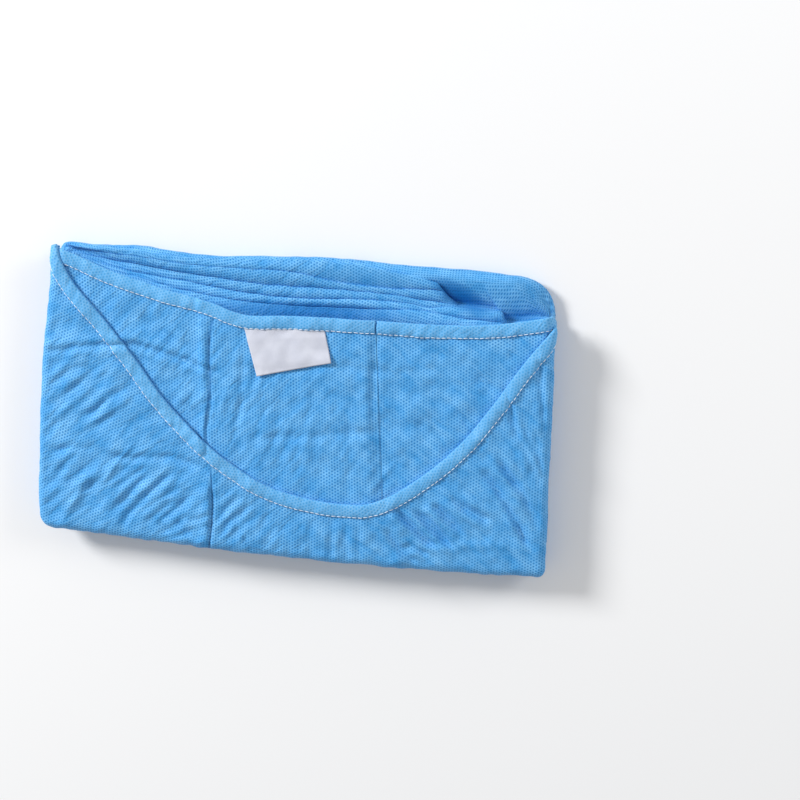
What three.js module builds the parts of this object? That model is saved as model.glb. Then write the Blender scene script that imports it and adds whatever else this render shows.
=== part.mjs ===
// A disposable protective gown, folded flat: the front panel with its deep neckline lies on top, the two back
// panels and the blank neck label show inside the neckline, and the rest of the gown is folded underneath.
// Millimetres. x runs across the pack, y from the bottom fold to the folds behind the neck, and z up.
import * as THREE from "three";

// Cloth: every visible panel is a wall of this thickness, and pieces lie this far apart.
const PANEL_WALL = 1.2;
const FRONT_WALL = 1.4;
const BINDING_WALL = 1.0;
const SEAM_GAP = 0.3;

// Heights of the pack, from the table up.
const LAYER_HEIGHT = 2.07;
const LAYERS_IN_A_FOLD = 3;
const CROWN = 2.0;
const CROWN_REACH = { x: 157, y: 93 };

// Neck edges and label.
const BINDING_WIDTH = 7;
const BACK_BINDING_POINTS = 5;
const FRONT_BINDING_POINTS = 9;
const BINDING_ROLL_LIFT = 0.5;
const BINDING_SHOULDER = { up: 0.8, out: 0.6 };
const LABEL_WALL = 1.0;

// The pack's outline seen from above, in four sides.
const LEFT_SIDE = [
  { at: -88, edge: -152.5 },
  { at: -70, edge: -154.6 },
  { at: -40, edge: -155.5 },
  { at: 10, edge: -155.0 },
  { at: 50, edge: -152.8 },
  { at: 90, edge: -150.0 },
];
const RIGHT_SIDE = [
  { at: -90, edge: 155.5 },
  { at: -60, edge: 155.0 },
  { at: -30, edge: 153.4 },
  { at: 10, edge: 152.4 },
  { at: 55, edge: 150.2 },
  { at: 90, edge: 148.0 },
];
const BOTTOM_SIDE = [
  { at: -152, edge: -87.0 },
  { at: -110, edge: -87.8 },
  { at: -50, edge: -90.6 },
  { at: 40, edge: -91.8 },
  { at: 100, edge: -91.6 },
  { at: 155, edge: -89.6 },
];
const FAR_SIDE = [
  { at: -150, edge: 89.0 },
  { at: -100, edge: 89.6 },
  { at: -52, edge: 88.0 },
  { at: -16, edge: 90.8 },
  { at: 10, edge: 91.8 },
  { at: 70, edge: 91.4 },
  { at: 148, edge: 90.0 },
];

// The upper edge of the back panels, and the lower edge of the front neckline, which is a lopsided U.
const BACK_NECK = [
  { at: -150, edge: 86.5 },
  { at: -138, edge: 83.0 },
  { at: -129, edge: 79.8 },
  { at: -116, edge: 75.2 },
  { at: -104, edge: 71.8 },
  { at: -90, edge: 68.4 },
  { at: -77, edge: 65.4 },
  { at: -63, edge: 63.0 },
  { at: -50, edge: 60.0 },
  { at: -40, edge: 56.8 },
  { at: -30, edge: 55.2 },
  { at: -14, edge: 56.4 },
  { at: 4, edge: 57.4 },
  { at: 44, edge: 58.0 },
  { at: 84, edge: 58.6 },
  { at: 112, edge: 61.0 },
  { at: 131, edge: 65.0 },
  { at: 150, edge: 70.5 },
];
const FRONT_NECK = [
  { x: -143.6, y: 84.0 },
  { x: -142.4, y: 75.5 },
  { x: -137.2, y: 66.4 },
  { x: -126.0, y: 54.2 },
  { x: -110.0, y: 37.0 },
  { x: -96.2, y: 20.8 },
  { x: -81.5, y: 2.7 },
  { x: -66.9, y: -12.0 },
  { x: -40.0, y: -33.2 },
  { x: -14.6, y: -46.8 },
  { x: 9.7, y: -52.6 },
  { x: 30.0, y: -54.2 },
  { x: 50.7, y: -51.7 },
  { x: 75.2, y: -36.3 },
  { x: 100.2, y: -11.8 },
  { x: 117.0, y: 12.0 },
  { x: 133.2, y: 38.2 },
  { x: 143.4, y: 53.6 },
];
const NECK_MIDDLE = { x: 4, y: 75 };
const NECK_SAMPLES = 400;

// The hidden layers, from the table up. reach is how far a layer runs behind the neck, from 0 at the back
// neckline to 1 at the pack's far side, and end is the x where that fold is cut back.
const WHOLE_WIDTH = 400;
const LAYERS = [
  { reach: 0.97, end: WHOLE_WIDTH },
  { reach: 1.0, end: WHOLE_WIDTH },
  { reach: 0.98, end: WHOLE_WIDTH },
  { reach: 0.84, end: 85 },
  { reach: 0.7, end: 89 },
  { reach: 0.54, end: 93 },
  { reach: 0.35, end: 118 },
  { reach: 0.18, end: 123 },
  { reach: 0.0, end: WHOLE_WIDTH },
];
const FOLD_END_SLANT = 13;
const STACK_TOP = LAYERS.length * LAYER_HEIGHT;
const LOW_FOLD_TOP = LAYERS_IN_A_FOLD * LAYER_HEIGHT;
const FAR_ROLL_TOP = 12.5;
const FAR_ROLL_DROP = { share: 0.35, from: 120, to: 148 };

// The back panels overlap in the middle. Each edge leans: x is its place at y = 0.
const RIGHT_PANEL_EDGE = { x: -53.5, slope: -0.071 };
const LEFT_PANEL_EDGE = { x: 50.8, slope: -0.1 };

// How the front panel rolls over the pack's edge: depth is its reach into the pack, end its lowest point.
const SIDE_ROLL = { depth: 5, end: 13.8 };
const BOTTOM_ROLL = { depth: 7, end: 7.6 };
const ROLL_TURN = (150 / 180) * Math.PI;

const CORNERS = { bottomLeft: 9, bottomRight: 6, farLeft: 8, farRight: 22, farRightTop: 5 };
const SHARPEST_CORNER = 1.2;
const INSET_REFERENCE = 7;
const SIDE_CROWDING = 1.25;

const BACK_BASE = STACK_TOP + SEAM_GAP;
const PANEL_STEP = PANEL_WALL + SEAM_GAP;
const FRONT_BASE = BACK_BASE + 2 * PANEL_STEP;
const FRONT_TOP = FRONT_BASE + FRONT_WALL;

const mix = THREE.MathUtils.lerp;
const smooth = (value, from, to) => THREE.MathUtils.smoothstep(value, from, to);

// A smooth curve through a side's rows, read at one coordinate.
function along(side, at) {
  const last = side.length - 1;
  const clamped = THREE.MathUtils.clamp(at, side[0].at, side[last].at);
  let i = 0;
  while (i < last - 1 && side[i + 1].at < clamped) i += 1;
  const slopeAt = (k) => {
    const low = side[Math.max(k - 1, 0)];
    const high = side[Math.min(k + 1, last)];
    return (high.edge - low.edge) / (high.at - low.at);
  };
  const span = side[i + 1].at - side[i].at;
  const t = (clamped - side[i].at) / span;
  const rise = side[i + 1].edge - side[i].edge;
  const bendStart = slopeAt(i) * span - rise;
  const bendEnd = rise - slopeAt(i + 1) * span;
  return mix(side[i].edge, side[i + 1].edge, t) + t * (1 - t) * ((1 - t) * bendStart + t * bendEnd);
}

const leftOf = (y) => along(LEFT_SIDE, y);
const rightOf = (y) => along(RIGHT_SIDE, y);
const bottomOf = (x) => along(BOTTOM_SIDE, x);
const farOf = (x) => along(FAR_SIDE, x);
const backNeckOf = (x) => along(BACK_NECK, x);

// The pack is a little fuller in its middle.
function crown(x, y) {
  const across = Math.max(0, 1 - (x / CROWN_REACH.x) ** 4);
  const down = Math.max(0, 1 - (y / CROWN_REACH.y) ** 4);
  return CROWN * across * down;
}

// A rounded corner from one side's end to the next side's start.
function corner(start, turn, end, steps) {
  const points = new THREE.QuadraticBezierCurve(start, turn, end).getPoints(steps);
  return points.slice(1, -1);
}

// Part of the outline, inset from it: down the left side, along the bottom and up the right side. Points on the
// sides crowd towards their upper ends.
function rim(inset, leftTop, rightTop, steps) {
  const leftRound = Math.max(CORNERS.bottomLeft - inset, SHARPEST_CORNER);
  const rightRound = Math.max(CORNERS.bottomRight - inset, SHARPEST_CORNER);
  const low = bottomOf(BOTTOM_SIDE[0].at) + inset;
  const lowRight = bottomOf(BOTTOM_SIDE.at(-1).at) + inset;
  const points = [];
  for (let i = 0; i <= steps.side; i += 1) {
    const y = mix(leftTop, low + leftRound, (i / steps.side) ** SIDE_CROWDING);
    points.push(new THREE.Vector2(leftOf(y) + inset, y));
  }
  const left = leftOf(low) + inset;
  const right = rightOf(lowRight) - inset;
  const bottom = [];
  for (let i = 0; i <= steps.bottom; i += 1) {
    const x = mix(left + leftRound, right - rightRound, i / steps.bottom);
    bottom.push(new THREE.Vector2(x, bottomOf(x) + inset));
  }
  points.push(...corner(points.at(-1), new THREE.Vector2(left, low), bottom[0], steps.corner), ...bottom);
  const up = [];
  for (let i = 0; i <= steps.side; i += 1) {
    const y = mix(rightTop, lowRight + rightRound, (1 - i / steps.side) ** SIDE_CROWDING);
    up.push(new THREE.Vector2(rightOf(y) - inset, y));
  }
  points.push(...corner(points.at(-1), new THREE.Vector2(right, lowRight), up[0], steps.corner), ...up);
  return points;
}

// A share from 0 on the left and right sides to 1 along the bottom, one for each point of a rim.
function bottomShares(steps) {
  const shares = [];
  const turn = (from, to) => {
    for (let i = 1; i < steps.corner; i += 1) shares.push(mix(from, to, i / steps.corner));
  };
  for (let i = 0; i <= steps.side; i += 1) shares.push(0);
  turn(0, 1);
  for (let i = 0; i <= steps.bottom; i += 1) shares.push(1);
  turn(1, 0);
  for (let i = 0; i <= steps.side; i += 1) shares.push(0);
  return shares;
}

// The front panel's roll at a share between the side's and the bottom's.
function rollAt(share) {
  const depth = mix(SIDE_ROLL.depth, BOTTOM_ROLL.depth, share);
  const end = mix(SIDE_ROLL.end, BOTTOM_ROLL.end, share);
  const half = (FRONT_TOP - end) / (1 - Math.cos(ROLL_TURN));
  return { depth, end, half, middle: FRONT_TOP - half };
}

// Builds an indexed closed mesh from points and triangles, turned so that its faces point out.
function solid(points, triangles) {
  let volume = 0;
  for (const [a, b, c] of triangles) {
    volume += points[a].dot(new THREE.Vector3().crossVectors(points[b], points[c]));
  }
  const faces = volume < 0 ? triangles.map(([a, b, c]) => [a, c, b]) : triangles;
  const geometry = new THREE.BufferGeometry();
  geometry.setAttribute("position", new THREE.Float32BufferAttribute(points.flatMap((p) => p.toArray()), 3));
  geometry.setIndex(faces.flat());
  return geometry;
}

// A wall between two grids of points, upper and lower, closed round its border.
function wall(upper, lower) {
  const rows = upper.length;
  const columns = upper[0].length;
  const points = [...upper.flat(), ...lower.flat()];
  const top = (i, j) => i * columns + j;
  const under = (i, j) => rows * columns + top(i, j);
  const triangles = [];
  const quad = (a, b, c, d) => triangles.push([a, b, c], [a, c, d]);
  for (let i = 0; i < rows - 1; i += 1) {
    for (let j = 0; j < columns - 1; j += 1) {
      quad(top(i, j), top(i + 1, j), top(i + 1, j + 1), top(i, j + 1));
      quad(under(i, j), under(i, j + 1), under(i + 1, j + 1), under(i + 1, j));
    }
    quad(top(i + 1, 0), top(i, 0), under(i, 0), under(i + 1, 0));
    quad(top(i, columns - 1), top(i + 1, columns - 1), under(i + 1, columns - 1), under(i, columns - 1));
  }
  for (let j = 0; j < columns - 1; j += 1) {
    quad(top(0, j), top(0, j + 1), under(0, j + 1), under(0, j));
    quad(top(rows - 1, j + 1), top(rows - 1, j), under(rows - 1, j), under(rows - 1, j + 1));
  }
  return solid(points, triangles);
}

// The normal at one point of a grid, on the side that faces up where a section starts.
function normalAt(grid, i, j) {
  const cross = (k) => {
    const along = grid[Math.min(i + 1, grid.length - 1)][k].clone().sub(grid[Math.max(i - 1, 0)][k]);
    const across = grid[i][Math.min(k + 1, grid[i].length - 1)].clone().sub(grid[i][Math.max(k - 1, 0)]);
    return along.cross(across).normalize();
  };
  return cross(j).multiplyScalar(Math.sign(cross(0).z));
}

// Points on one section of a grid from its start to a width, each with its normal. They lie at the grid's own
// points as far as these reach, and are evenly spaced after that.
function stripOf(grid, i, width, count) {
  const section = grid[i];
  const reached = [0];
  for (let j = 1; j < section.length; j += 1) {
    reached.push(reached[j - 1] + section[j].distanceTo(section[j - 1]));
  }
  const places = reached.filter((distance) => distance < width - 0.5).slice(0, count);
  const start = places.at(-1);
  const left = count - places.length + 1;
  for (let k = 1; k <= left; k += 1) places.push(mix(start, width, k / left));
  return places.map((distance) => {
    let j = 0;
    while (j < section.length - 2 && reached[j + 1] <= distance) j += 1;
    const t = (distance - reached[j]) / (reached[j + 1] - reached[j]);
    const normal = normalAt(grid, i, j).lerp(normalAt(grid, i, j + 1), t).normalize();
    return { point: section[j].clone().lerp(section[j + 1], t), normal };
  });
}

// A binding folded over a panel's edge, made from the panel's own points, moved out. Where the panel turns down
// over the pack's side, the binding stands off it a little more.
function binding(upper, lower, count) {
  const outer = [];
  const inner = [];
  const leg = SEAM_GAP + BINDING_WALL;
  for (let i = 0; i < upper.length; i += 1) {
    const strip = stripOf(upper, i, BINDING_WIDTH, count);
    const edge = strip[0];
    const away = upper[i][0].clone().sub(upper[i][1]).normalize();
    const foot = lower[i][0];
    const middle = foot.clone().lerp(edge.point, 0.5);
    const beside = (point, distance) => point.clone().addScaledVector(away, distance);
    const raised = (place, height) => place.point.clone().addScaledVector(place.normal, height);
    const lift = (place) => BINDING_ROLL_LIFT * (1 - place.normal.z);
    const flat = strip.slice(1);
    outer.push([
      beside(foot, leg),
      beside(middle, leg),
      beside(raised(edge, leg * BINDING_SHOULDER.up), leg * BINDING_SHOULDER.out),
      ...flat.map((place) => raised(place, leg + lift(place))),
    ]);
    inner.push([
      beside(foot, SEAM_GAP),
      beside(middle, SEAM_GAP),
      beside(raised(edge, SEAM_GAP), SEAM_GAP),
      ...flat.map((place) => raised(place, SEAM_GAP + lift(place))),
    ]);
  }
  return wall(outer, inner);
}

// The hidden layers: skirt, sleeves and ties, folded together. Each layer's edge is a low nose, three layers
// make one thick fold, and behind the neck the upper layers step back one after another.
const STACK_STEPS = { side: 8, bottom: 16, corner: 4, far: 32, cap: 6 };
const LAYER_PARTS = [0.01, 0.35, 0.65, 0.99];
const FOLD_NOSE = 3.2;
const LAYER_NOSE = 0.8;
const NECK_SETBACK = 2;
const COVER_GAP = 0.5;
const COVER_REST = 0.4;
const COVER_FADE = { start: 4, end: 1.2 };

function backEdgeOf(layer, x) {
  const reach = layer.reach * (1 - smooth(x, layer.end, layer.end + FOLD_END_SLANT));
  return mix(backNeckOf(x) - NECK_SETBACK, farOf(x), reach);
}

// How far a thick fold's rounded edge draws in at a height.
function foldNose(z) {
  const fold = Math.min(Math.floor(z / LOW_FOLD_TOP), LAYERS.length / LAYERS_IN_A_FOLD - 1);
  const offset = (z - (fold + 0.5) * LOW_FOLD_TOP) / (LOW_FOLD_TOP / 2);
  return FOLD_NOSE * (1 - Math.sqrt(Math.max(0, 1 - offset * offset)));
}

// How far the stack has to draw in under the front panel's roll.
function coverInset(z, roll) {
  const { depth, end, half, middle } = roll;
  const innerInset = (sink) => {
    const turn = (z - middle - sink / 2) / (half - FRONT_WALL + sink / 2);
    return depth - (depth - FRONT_WALL) * Math.sqrt(Math.max(0, 1 - turn * turn));
  };
  const innerEnd = middle + (half - FRONT_WALL) * Math.cos(ROLL_TURN);
  if (z > innerEnd) return Math.max(innerInset(-PANEL_STEP), innerInset(COVER_REST)) + COVER_GAP;
  return (depth + COVER_GAP) * smooth(z, end - COVER_FADE.start, end - COVER_FADE.end);
}

// The far side's roll lifts the lowest fold and presses the layers above it together.
function lifted(x, y, z) {
  const behind = (y - backNeckOf(x)) / Math.max(farOf(x) - backNeckOf(x), CORNERS.farRightTop);
  const rightEnd = 1 - FAR_ROLL_DROP.share * smooth(x, FAR_ROLL_DROP.from, FAR_ROLL_DROP.to);
  const lowTop = mix(LOW_FOLD_TOP, FAR_ROLL_TOP * rightEnd, smooth(behind, 0.15, 0.85));
  const raised = z < LOW_FOLD_TOP
    ? (z * lowTop) / LOW_FOLD_TOP
    : lowTop + ((z - LOW_FOLD_TOP) * (STACK_TOP - lowTop)) / (STACK_TOP - LOW_FOLD_TOP);
  return raised + (crown(x, y) * raised) / STACK_TOP;
}

// One ring of a layer, at a part of its height.
function stackRing(index, part, shares) {
  const layer = LAYERS[index];
  const z = (index + part) * LAYER_HEIGHT;
  const nose = LAYER_NOSE * Math.abs(2 * part - 1) ** 3;
  const isLow = index < LAYERS_IN_A_FOLD;
  const farRound = isLow ? CORNERS.farRight : CORNERS.farRightTop;
  const farNose = isLow ? Math.max(foldNose(z), nose) : nose;
  const leftTop = backEdgeOf(layer, FAR_SIDE[0].at) - CORNERS.farLeft;
  const rightTop = backEdgeOf(layer, FAR_SIDE.at(-1).at) - farRound;
  const outline = rim(0, leftTop, rightTop, STACK_STEPS);
  const inward = rim(INSET_REFERENCE, leftTop, rightTop, STACK_STEPS);
  const points = outline.map((point, i) => {
    const inset = Math.max(foldNose(z) + nose, coverInset(z, rollAt(shares[i])));
    return point.clone().lerp(inward[i], inset / INSET_REFERENCE);
  });
  const right = points.at(-1);
  const left = points[0];
  const far = [];
  for (let i = 0; i <= STACK_STEPS.far; i += 1) {
    const x = mix(right.x - farRound, left.x + CORNERS.farLeft, i / STACK_STEPS.far);
    far.push(new THREE.Vector2(x, backEdgeOf(layer, x) - farNose));
  }
  const farRight = new THREE.Vector2(right.x, far[0].y);
  const farLeft = new THREE.Vector2(left.x, far.at(-1).y);
  const ring = [
    ...points,
    ...corner(right, farRight, far[0], STACK_STEPS.corner),
    ...far,
    ...corner(far.at(-1), farLeft, left, STACK_STEPS.corner),
  ];
  return ring.map((p) => new THREE.Vector3(p.x, p.y, lifted(p.x, p.y, z)));
}

const topPoint = (x, y) => new THREE.Vector3(x, y, lifted(x, y, STACK_TOP));

function foldedLayers() {
  const shares = bottomShares(STACK_STEPS);
  const rings = LAYERS.flatMap((layer, index) => {
    const parts = [...LAYER_PARTS];
    if (index === 0) parts[0] = 0;
    if (index === LAYERS.length - 1) parts[parts.length - 1] = 1;
    return parts.map((part) => stackRing(index, part, shares));
  });
  const top = rings.at(-1);
  for (let i = 1; i < STACK_STEPS.cap; i += 1) {
    const shrink = 1 - i / STACK_STEPS.cap;
    rings.push(top.map((p) => topPoint(p.x * shrink, p.y * shrink)));
  }
  const count = top.length;
  const points = rings.flat();
  const triangles = [];
  for (let i = 0; i < rings.length - 1; i += 1) {
    for (let j = 0; j < count; j += 1) {
      const next = (j + 1) % count;
      const [a, b, c, d] = [i * count + j, i * count + next, (i + 1) * count + next, (i + 1) * count + j];
      triangles.push([a, b, c], [a, c, d]);
    }
  }
  const base = rings[0].map((p) => new THREE.Vector2(p.x, p.y));
  for (const [a, b, c] of THREE.ShapeUtils.triangulateShape(base, [])) triangles.push([a, c, b]);
  points.push(topPoint(0, 0));
  const last = (rings.length - 1) * count;
  for (let j = 0; j < count; j += 1) triangles.push([last + j, last + ((j + 1) % count), points.length - 1]);
  return solid(points, triangles);
}

// The two back panels, as grids whose sections start at the neck edge and run down under the front.
const BACK_ROWS = 7;
const BACK_FOOT = { y: -80, aboveBottom: 9 };
const BACK_NECK_MIDDLE = 62;
const BACK_SIDE_INSET = 7.5;
const BACK_CORNER = { inset: 3, from: 62.5, to: 66 };
const BACK_BINDING_START = -136;
const OVERLAP_RAMP = { start: 5, end: 1 };

const edgeAt = (edge, y) => edge.x + edge.slope * y;

function backLeftLimit(y) {
  return leftOf(y) + BACK_SIDE_INSET;
}

function backRightLimit(y) {
  const { inset, from, to } = BACK_CORNER;
  return rightOf(y) - mix(BACK_SIDE_INSET, inset, smooth(y, from, to));
}

// The left panel lies over the right one, and drops to the layers where that one ends.
function leftPanelBase(x, y) {
  const edge = edgeAt(RIGHT_PANEL_EDGE, y);
  return BACK_BASE + PANEL_STEP * smooth(x, edge - OVERLAP_RAMP.start, edge - OVERLAP_RAMP.end) + crown(x, y);
}

function backPanel(stations, base) {
  const upper = [];
  const lower = [];
  for (const station of stations) {
    const top = [];
    const under = [];
    const neck = backNeckOf(station(BACK_NECK_MIDDLE));
    const foot = bottomOf(station(BACK_FOOT.y)) + BACK_FOOT.aboveBottom;
    for (let i = 0; i <= BACK_ROWS; i += 1) {
      const y = mix(neck, foot, i / BACK_ROWS);
      const x = station(y);
      const z = base(x, y);
      under.push(new THREE.Vector3(x, y, z));
      top.push(new THREE.Vector3(x, y, z + PANEL_WALL));
    }
    upper.push(top);
    lower.push(under);
  }
  return { upper, lower };
}

// Evenly spaced section places between two edges that both depend on y.
function between(from, to, count) {
  return Array.from({ length: count + 1 }, (_, i) => (y) => mix(from(y), to(y), i / count));
}

function backPanelLeft() {
  const hidden = (y) => edgeAt(RIGHT_PANEL_EDGE, y);
  const stations = [
    ...between(backLeftLimit, (y) => hidden(y) - OVERLAP_RAMP.start, 12),
    (y) => hidden(y) - (OVERLAP_RAMP.start + OVERLAP_RAMP.end) / 2,
    ...between((y) => hidden(y) - OVERLAP_RAMP.end, (y) => edgeAt(LEFT_PANEL_EDGE, y), 12),
  ];
  return backPanel(stations, leftPanelBase);
}

function backPanelRight() {
  const stations = between((y) => edgeAt(RIGHT_PANEL_EDGE, y), backRightLimit, 20);
  return backPanel(stations, (x, y) => BACK_BASE + crown(x, y));
}

// The sections of a panel whose neck edge lies right of a place, the first one cut at that place.
function bareNeck(panel, start) {
  const bare = (grid) => {
    const kept = grid.filter((section) => section[0].x > start + 2);
    const before = grid[grid.indexOf(kept[0]) - 1];
    const share = (start - before[0].x) / (kept[0][0].x - before[0].x);
    return [before.map((point, i) => point.clone().lerp(kept[0][i], share)), ...kept];
  };
  return { upper: bare(panel.upper), lower: bare(panel.lower) };
}

// The front panel: sections run from the neckline out to the pack's edge and roll over it.
const FRONT_STEPS = { side: 15, bottom: 24, corner: 4, flat: 6, crowding: 1.3, roll: 6 };
const FRONT_LEFT_TOP = 83.5;
const FRONT_RIGHT_TOP = 55;
const STEP_SOFTNESS = { start: 4, end: 16 };

// Where the back panels overlap the front panel rides higher, with a soft step on each side.
function frontDrop(x, y) {
  const beyondRight = edgeAt(RIGHT_PANEL_EDGE, y) - x;
  const beyondLeft = x - edgeAt(LEFT_PANEL_EDGE, y);
  const { start, end } = STEP_SOFTNESS;
  return PANEL_STEP * Math.max(smooth(beyondRight, start, end), smooth(beyondLeft, start, end));
}

const angleFromNeck = (p) => {
  const angle = Math.atan2(p.y - NECK_MIDDLE.y, p.x - NECK_MIDDLE.x);
  return angle < Math.PI / 2 ? angle + 2 * Math.PI : angle;
};

// The neckline's point at a share of its angle round the neck's middle.
function neckline() {
  const places = FRONT_NECK.map(({ x, y }) => new THREE.Vector3(x, y, 0));
  const curve = new THREE.CatmullRomCurve3(places, false, "centripetal");
  const fine = curve.getPoints(NECK_SAMPLES);
  const angles = fine.map(angleFromNeck);
  return (share) => {
    const wanted = mix(angles[0], angles.at(-1), share);
    let i = 0;
    while (i < angles.length - 2 && angles[i + 1] < wanted) i += 1;
    const t = THREE.MathUtils.clamp((wanted - angles[i]) / (angles[i + 1] - angles[i]), 0, 1);
    return fine[i].clone().lerp(fine[i + 1], t);
  };
}

function frontPanel() {
  const outline = rim(0, FRONT_LEFT_TOP, FRONT_RIGHT_TOP, FRONT_STEPS);
  const inward = rim(INSET_REFERENCE, FRONT_LEFT_TOP, FRONT_RIGHT_TOP, FRONT_STEPS);
  const shares = bottomShares(FRONT_STEPS);
  const neck = neckline();
  const rollDepth = (i) => rollAt(shares[i]).depth / INSET_REFERENCE;
  const rollStarts = outline.map((p, i) => p.clone().lerp(inward[i], rollDepth(i)));
  const angles = rollStarts.map(angleFromNeck);
  const upper = [];
  const lower = [];
  outline.forEach((edge, i) => {
    const roll = rollAt(shares[i]);
    const start = rollStarts[i];
    const neckPoint = neck((angles[i] - angles[0]) / (angles.at(-1) - angles[0]));
    const top = [];
    const under = [];
    for (let k = 0; k < FRONT_STEPS.flat; k += 1) {
      const share = (k / FRONT_STEPS.flat) ** FRONT_STEPS.crowding;
      const x = mix(neckPoint.x, start.x, share);
      const y = mix(neckPoint.y, start.y, share);
      const z = FRONT_BASE + crown(x, y) - frontDrop(x, y);
      under.push(new THREE.Vector3(x, y, z));
      top.push(new THREE.Vector3(x, y, z + FRONT_WALL));
    }
    const offset = crown(start.x, start.y) - frontDrop(start.x, start.y);
    for (let k = 0; k <= FRONT_STEPS.roll; k += 1) {
      const turn = (k / FRONT_STEPS.roll) * ROLL_TURN;
      const onRoll = (depthCut) => {
        const inset = roll.depth - (roll.depth - depthCut) * Math.sin(turn);
        const place = edge.clone().lerp(inward[i], inset / INSET_REFERENCE);
        const drop = (offset * (1 + Math.cos(turn))) / 2;
        const height = roll.middle + (roll.half - depthCut) * Math.cos(turn);
        return new THREE.Vector3(place.x, place.y, height + drop);
      };
      top.push(onRoll(0));
      under.push(onRoll(FRONT_WALL));
    }
    upper.push(top);
    lower.push(under);
  });
  return { upper, lower };
}

// The blank neck label, sewn in crooked under the back binding and lying on the left back panel.
const LABEL = {
  topLeft: { x: -32, y: 46.6 },
  topRight: { x: 15.5, y: 50.2 },
  bottomRight: { x: 20.5, y: 32.3 },
  bottomLeft: { x: -23.5, y: 20.5 },
};
const LABEL_STEPS = { across: 8, down: 4 };

// A place on the label, from its upper edge to its lower one at s, and across it at t.
function labelPoint(t, s) {
  const onEdge = (left, right) => new THREE.Vector2(mix(left.x, right.x, t), mix(left.y, right.y, t));
  return onEdge(LABEL.topLeft, LABEL.topRight).lerp(onEdge(LABEL.bottomLeft, LABEL.bottomRight), s);
}

function neckLabel() {
  const upper = [];
  const lower = [];
  for (let i = 0; i <= LABEL_STEPS.across; i += 1) {
    const t = i / LABEL_STEPS.across;
    const top = [];
    const under = [];
    for (let j = 0; j <= LABEL_STEPS.down; j += 1) {
      const s = j / LABEL_STEPS.down;
      const { x, y } = labelPoint(t, s);
      const z = leftPanelBase(x, y) + PANEL_WALL + SEAM_GAP;
      under.push(new THREE.Vector3(x, y, z));
      top.push(new THREE.Vector3(x, y, z + LABEL_WALL));
    }
    upper.push(top);
    lower.push(under);
  }
  return wall(upper, lower);
}

const cloth = new THREE.MeshStandardMaterial({ color: "#4fa0dc", roughness: 0.85, metalness: 0 });
const bindingCloth = new THREE.MeshStandardMaterial({ color: "#6fb0e2", roughness: 0.85, metalness: 0 });
const labelCloth = new THREE.MeshStandardMaterial({ color: "#e6e6ee", roughness: 0.8, metalness: 0 });

const gown = new THREE.Group();

function addPiece(name, geometry, material) {
  const mesh = new THREE.Mesh(geometry, material);
  mesh.name = name;
  gown.add(mesh);
}

const leftBack = backPanelLeft();
const rightBack = backPanelRight();
const bareLeft = bareNeck(leftBack, BACK_BINDING_START);
const bareRight = bareNeck(rightBack, edgeAt(LEFT_PANEL_EDGE, BACK_NECK_MIDDLE) + 2);
const front = frontPanel();

addPiece("folded_layers", foldedLayers(), cloth);
addPiece("back_panel_right", wall(rightBack.upper, rightBack.lower), cloth);
addPiece("back_panel_left", wall(leftBack.upper, leftBack.lower), cloth);
addPiece("front_panel", wall(front.upper, front.lower), cloth);
addPiece("back_binding_right", binding(bareRight.upper, bareRight.lower, BACK_BINDING_POINTS), bindingCloth);
addPiece("back_binding_left", binding(bareLeft.upper, bareLeft.lower, BACK_BINDING_POINTS), bindingCloth);
addPiece("front_neck_binding", binding(front.upper, front.lower, FRONT_BINDING_POINTS), bindingCloth);
addPiece("neck_label", neckLabel(), labelCloth);

// The origin is the middle of the underside.
const box = new THREE.Box3().setFromObject(gown);
gown.position.set(-(box.min.x + box.max.x) / 2, -(box.min.y + box.max.y) / 2, -box.min.z);

export default gown;
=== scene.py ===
import math

import bpy
import numpy as np
from mathutils import Matrix, Vector


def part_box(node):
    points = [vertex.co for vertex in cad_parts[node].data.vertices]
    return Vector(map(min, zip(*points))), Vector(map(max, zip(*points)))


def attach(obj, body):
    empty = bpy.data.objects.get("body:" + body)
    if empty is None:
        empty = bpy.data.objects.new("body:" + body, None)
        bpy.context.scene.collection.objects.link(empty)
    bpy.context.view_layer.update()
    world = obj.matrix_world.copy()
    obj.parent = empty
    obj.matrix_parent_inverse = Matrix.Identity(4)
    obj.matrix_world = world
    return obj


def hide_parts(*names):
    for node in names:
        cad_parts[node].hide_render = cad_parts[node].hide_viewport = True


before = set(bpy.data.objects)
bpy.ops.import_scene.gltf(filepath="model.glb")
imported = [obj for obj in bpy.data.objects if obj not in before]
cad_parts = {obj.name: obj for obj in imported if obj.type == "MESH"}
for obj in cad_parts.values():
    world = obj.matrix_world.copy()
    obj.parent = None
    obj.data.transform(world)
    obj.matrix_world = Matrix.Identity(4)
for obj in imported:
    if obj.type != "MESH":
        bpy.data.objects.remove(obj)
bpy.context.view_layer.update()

# Lengths are millimetres until a mesh is made. x runs across the pack, y from its bottom fold to the folds
# behind the neck, and z up from the floor.
METRES = 0.001
PANEL_WALL = 1.2
FRONT_WALL = 1.4
SEAM_GAP = 0.3
LAYER_HEIGHT = 2.07
LAYER_COUNT = 9
LAYERS_IN_A_FOLD = 3
CROWN = 2.0
CROWN_REACH = (157, 93)
BINDING_WIDTH = 7.0

# The pack's outline in four sides. Columns: at, edge.
LEFT_SIDE = [(-88, -152.5), (-70, -154.6), (-40, -155.5), (10, -155), (50, -152.8), (90, -150)]
RIGHT_SIDE = [(-90, 155.5), (-60, 155), (-30, 153.4), (10, 152.4), (55, 150.2), (90, 148)]
BOTTOM_SIDE = [(-152, -87), (-110, -87.8), (-50, -90.6), (40, -91.8), (100, -91.6), (155, -89.6)]
FAR_SIDE = [(-150, 89), (-100, 89.6), (-52, 88), (-16, 90.8), (10, 91.8), (70, 91.4), (148, 90)]

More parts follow.
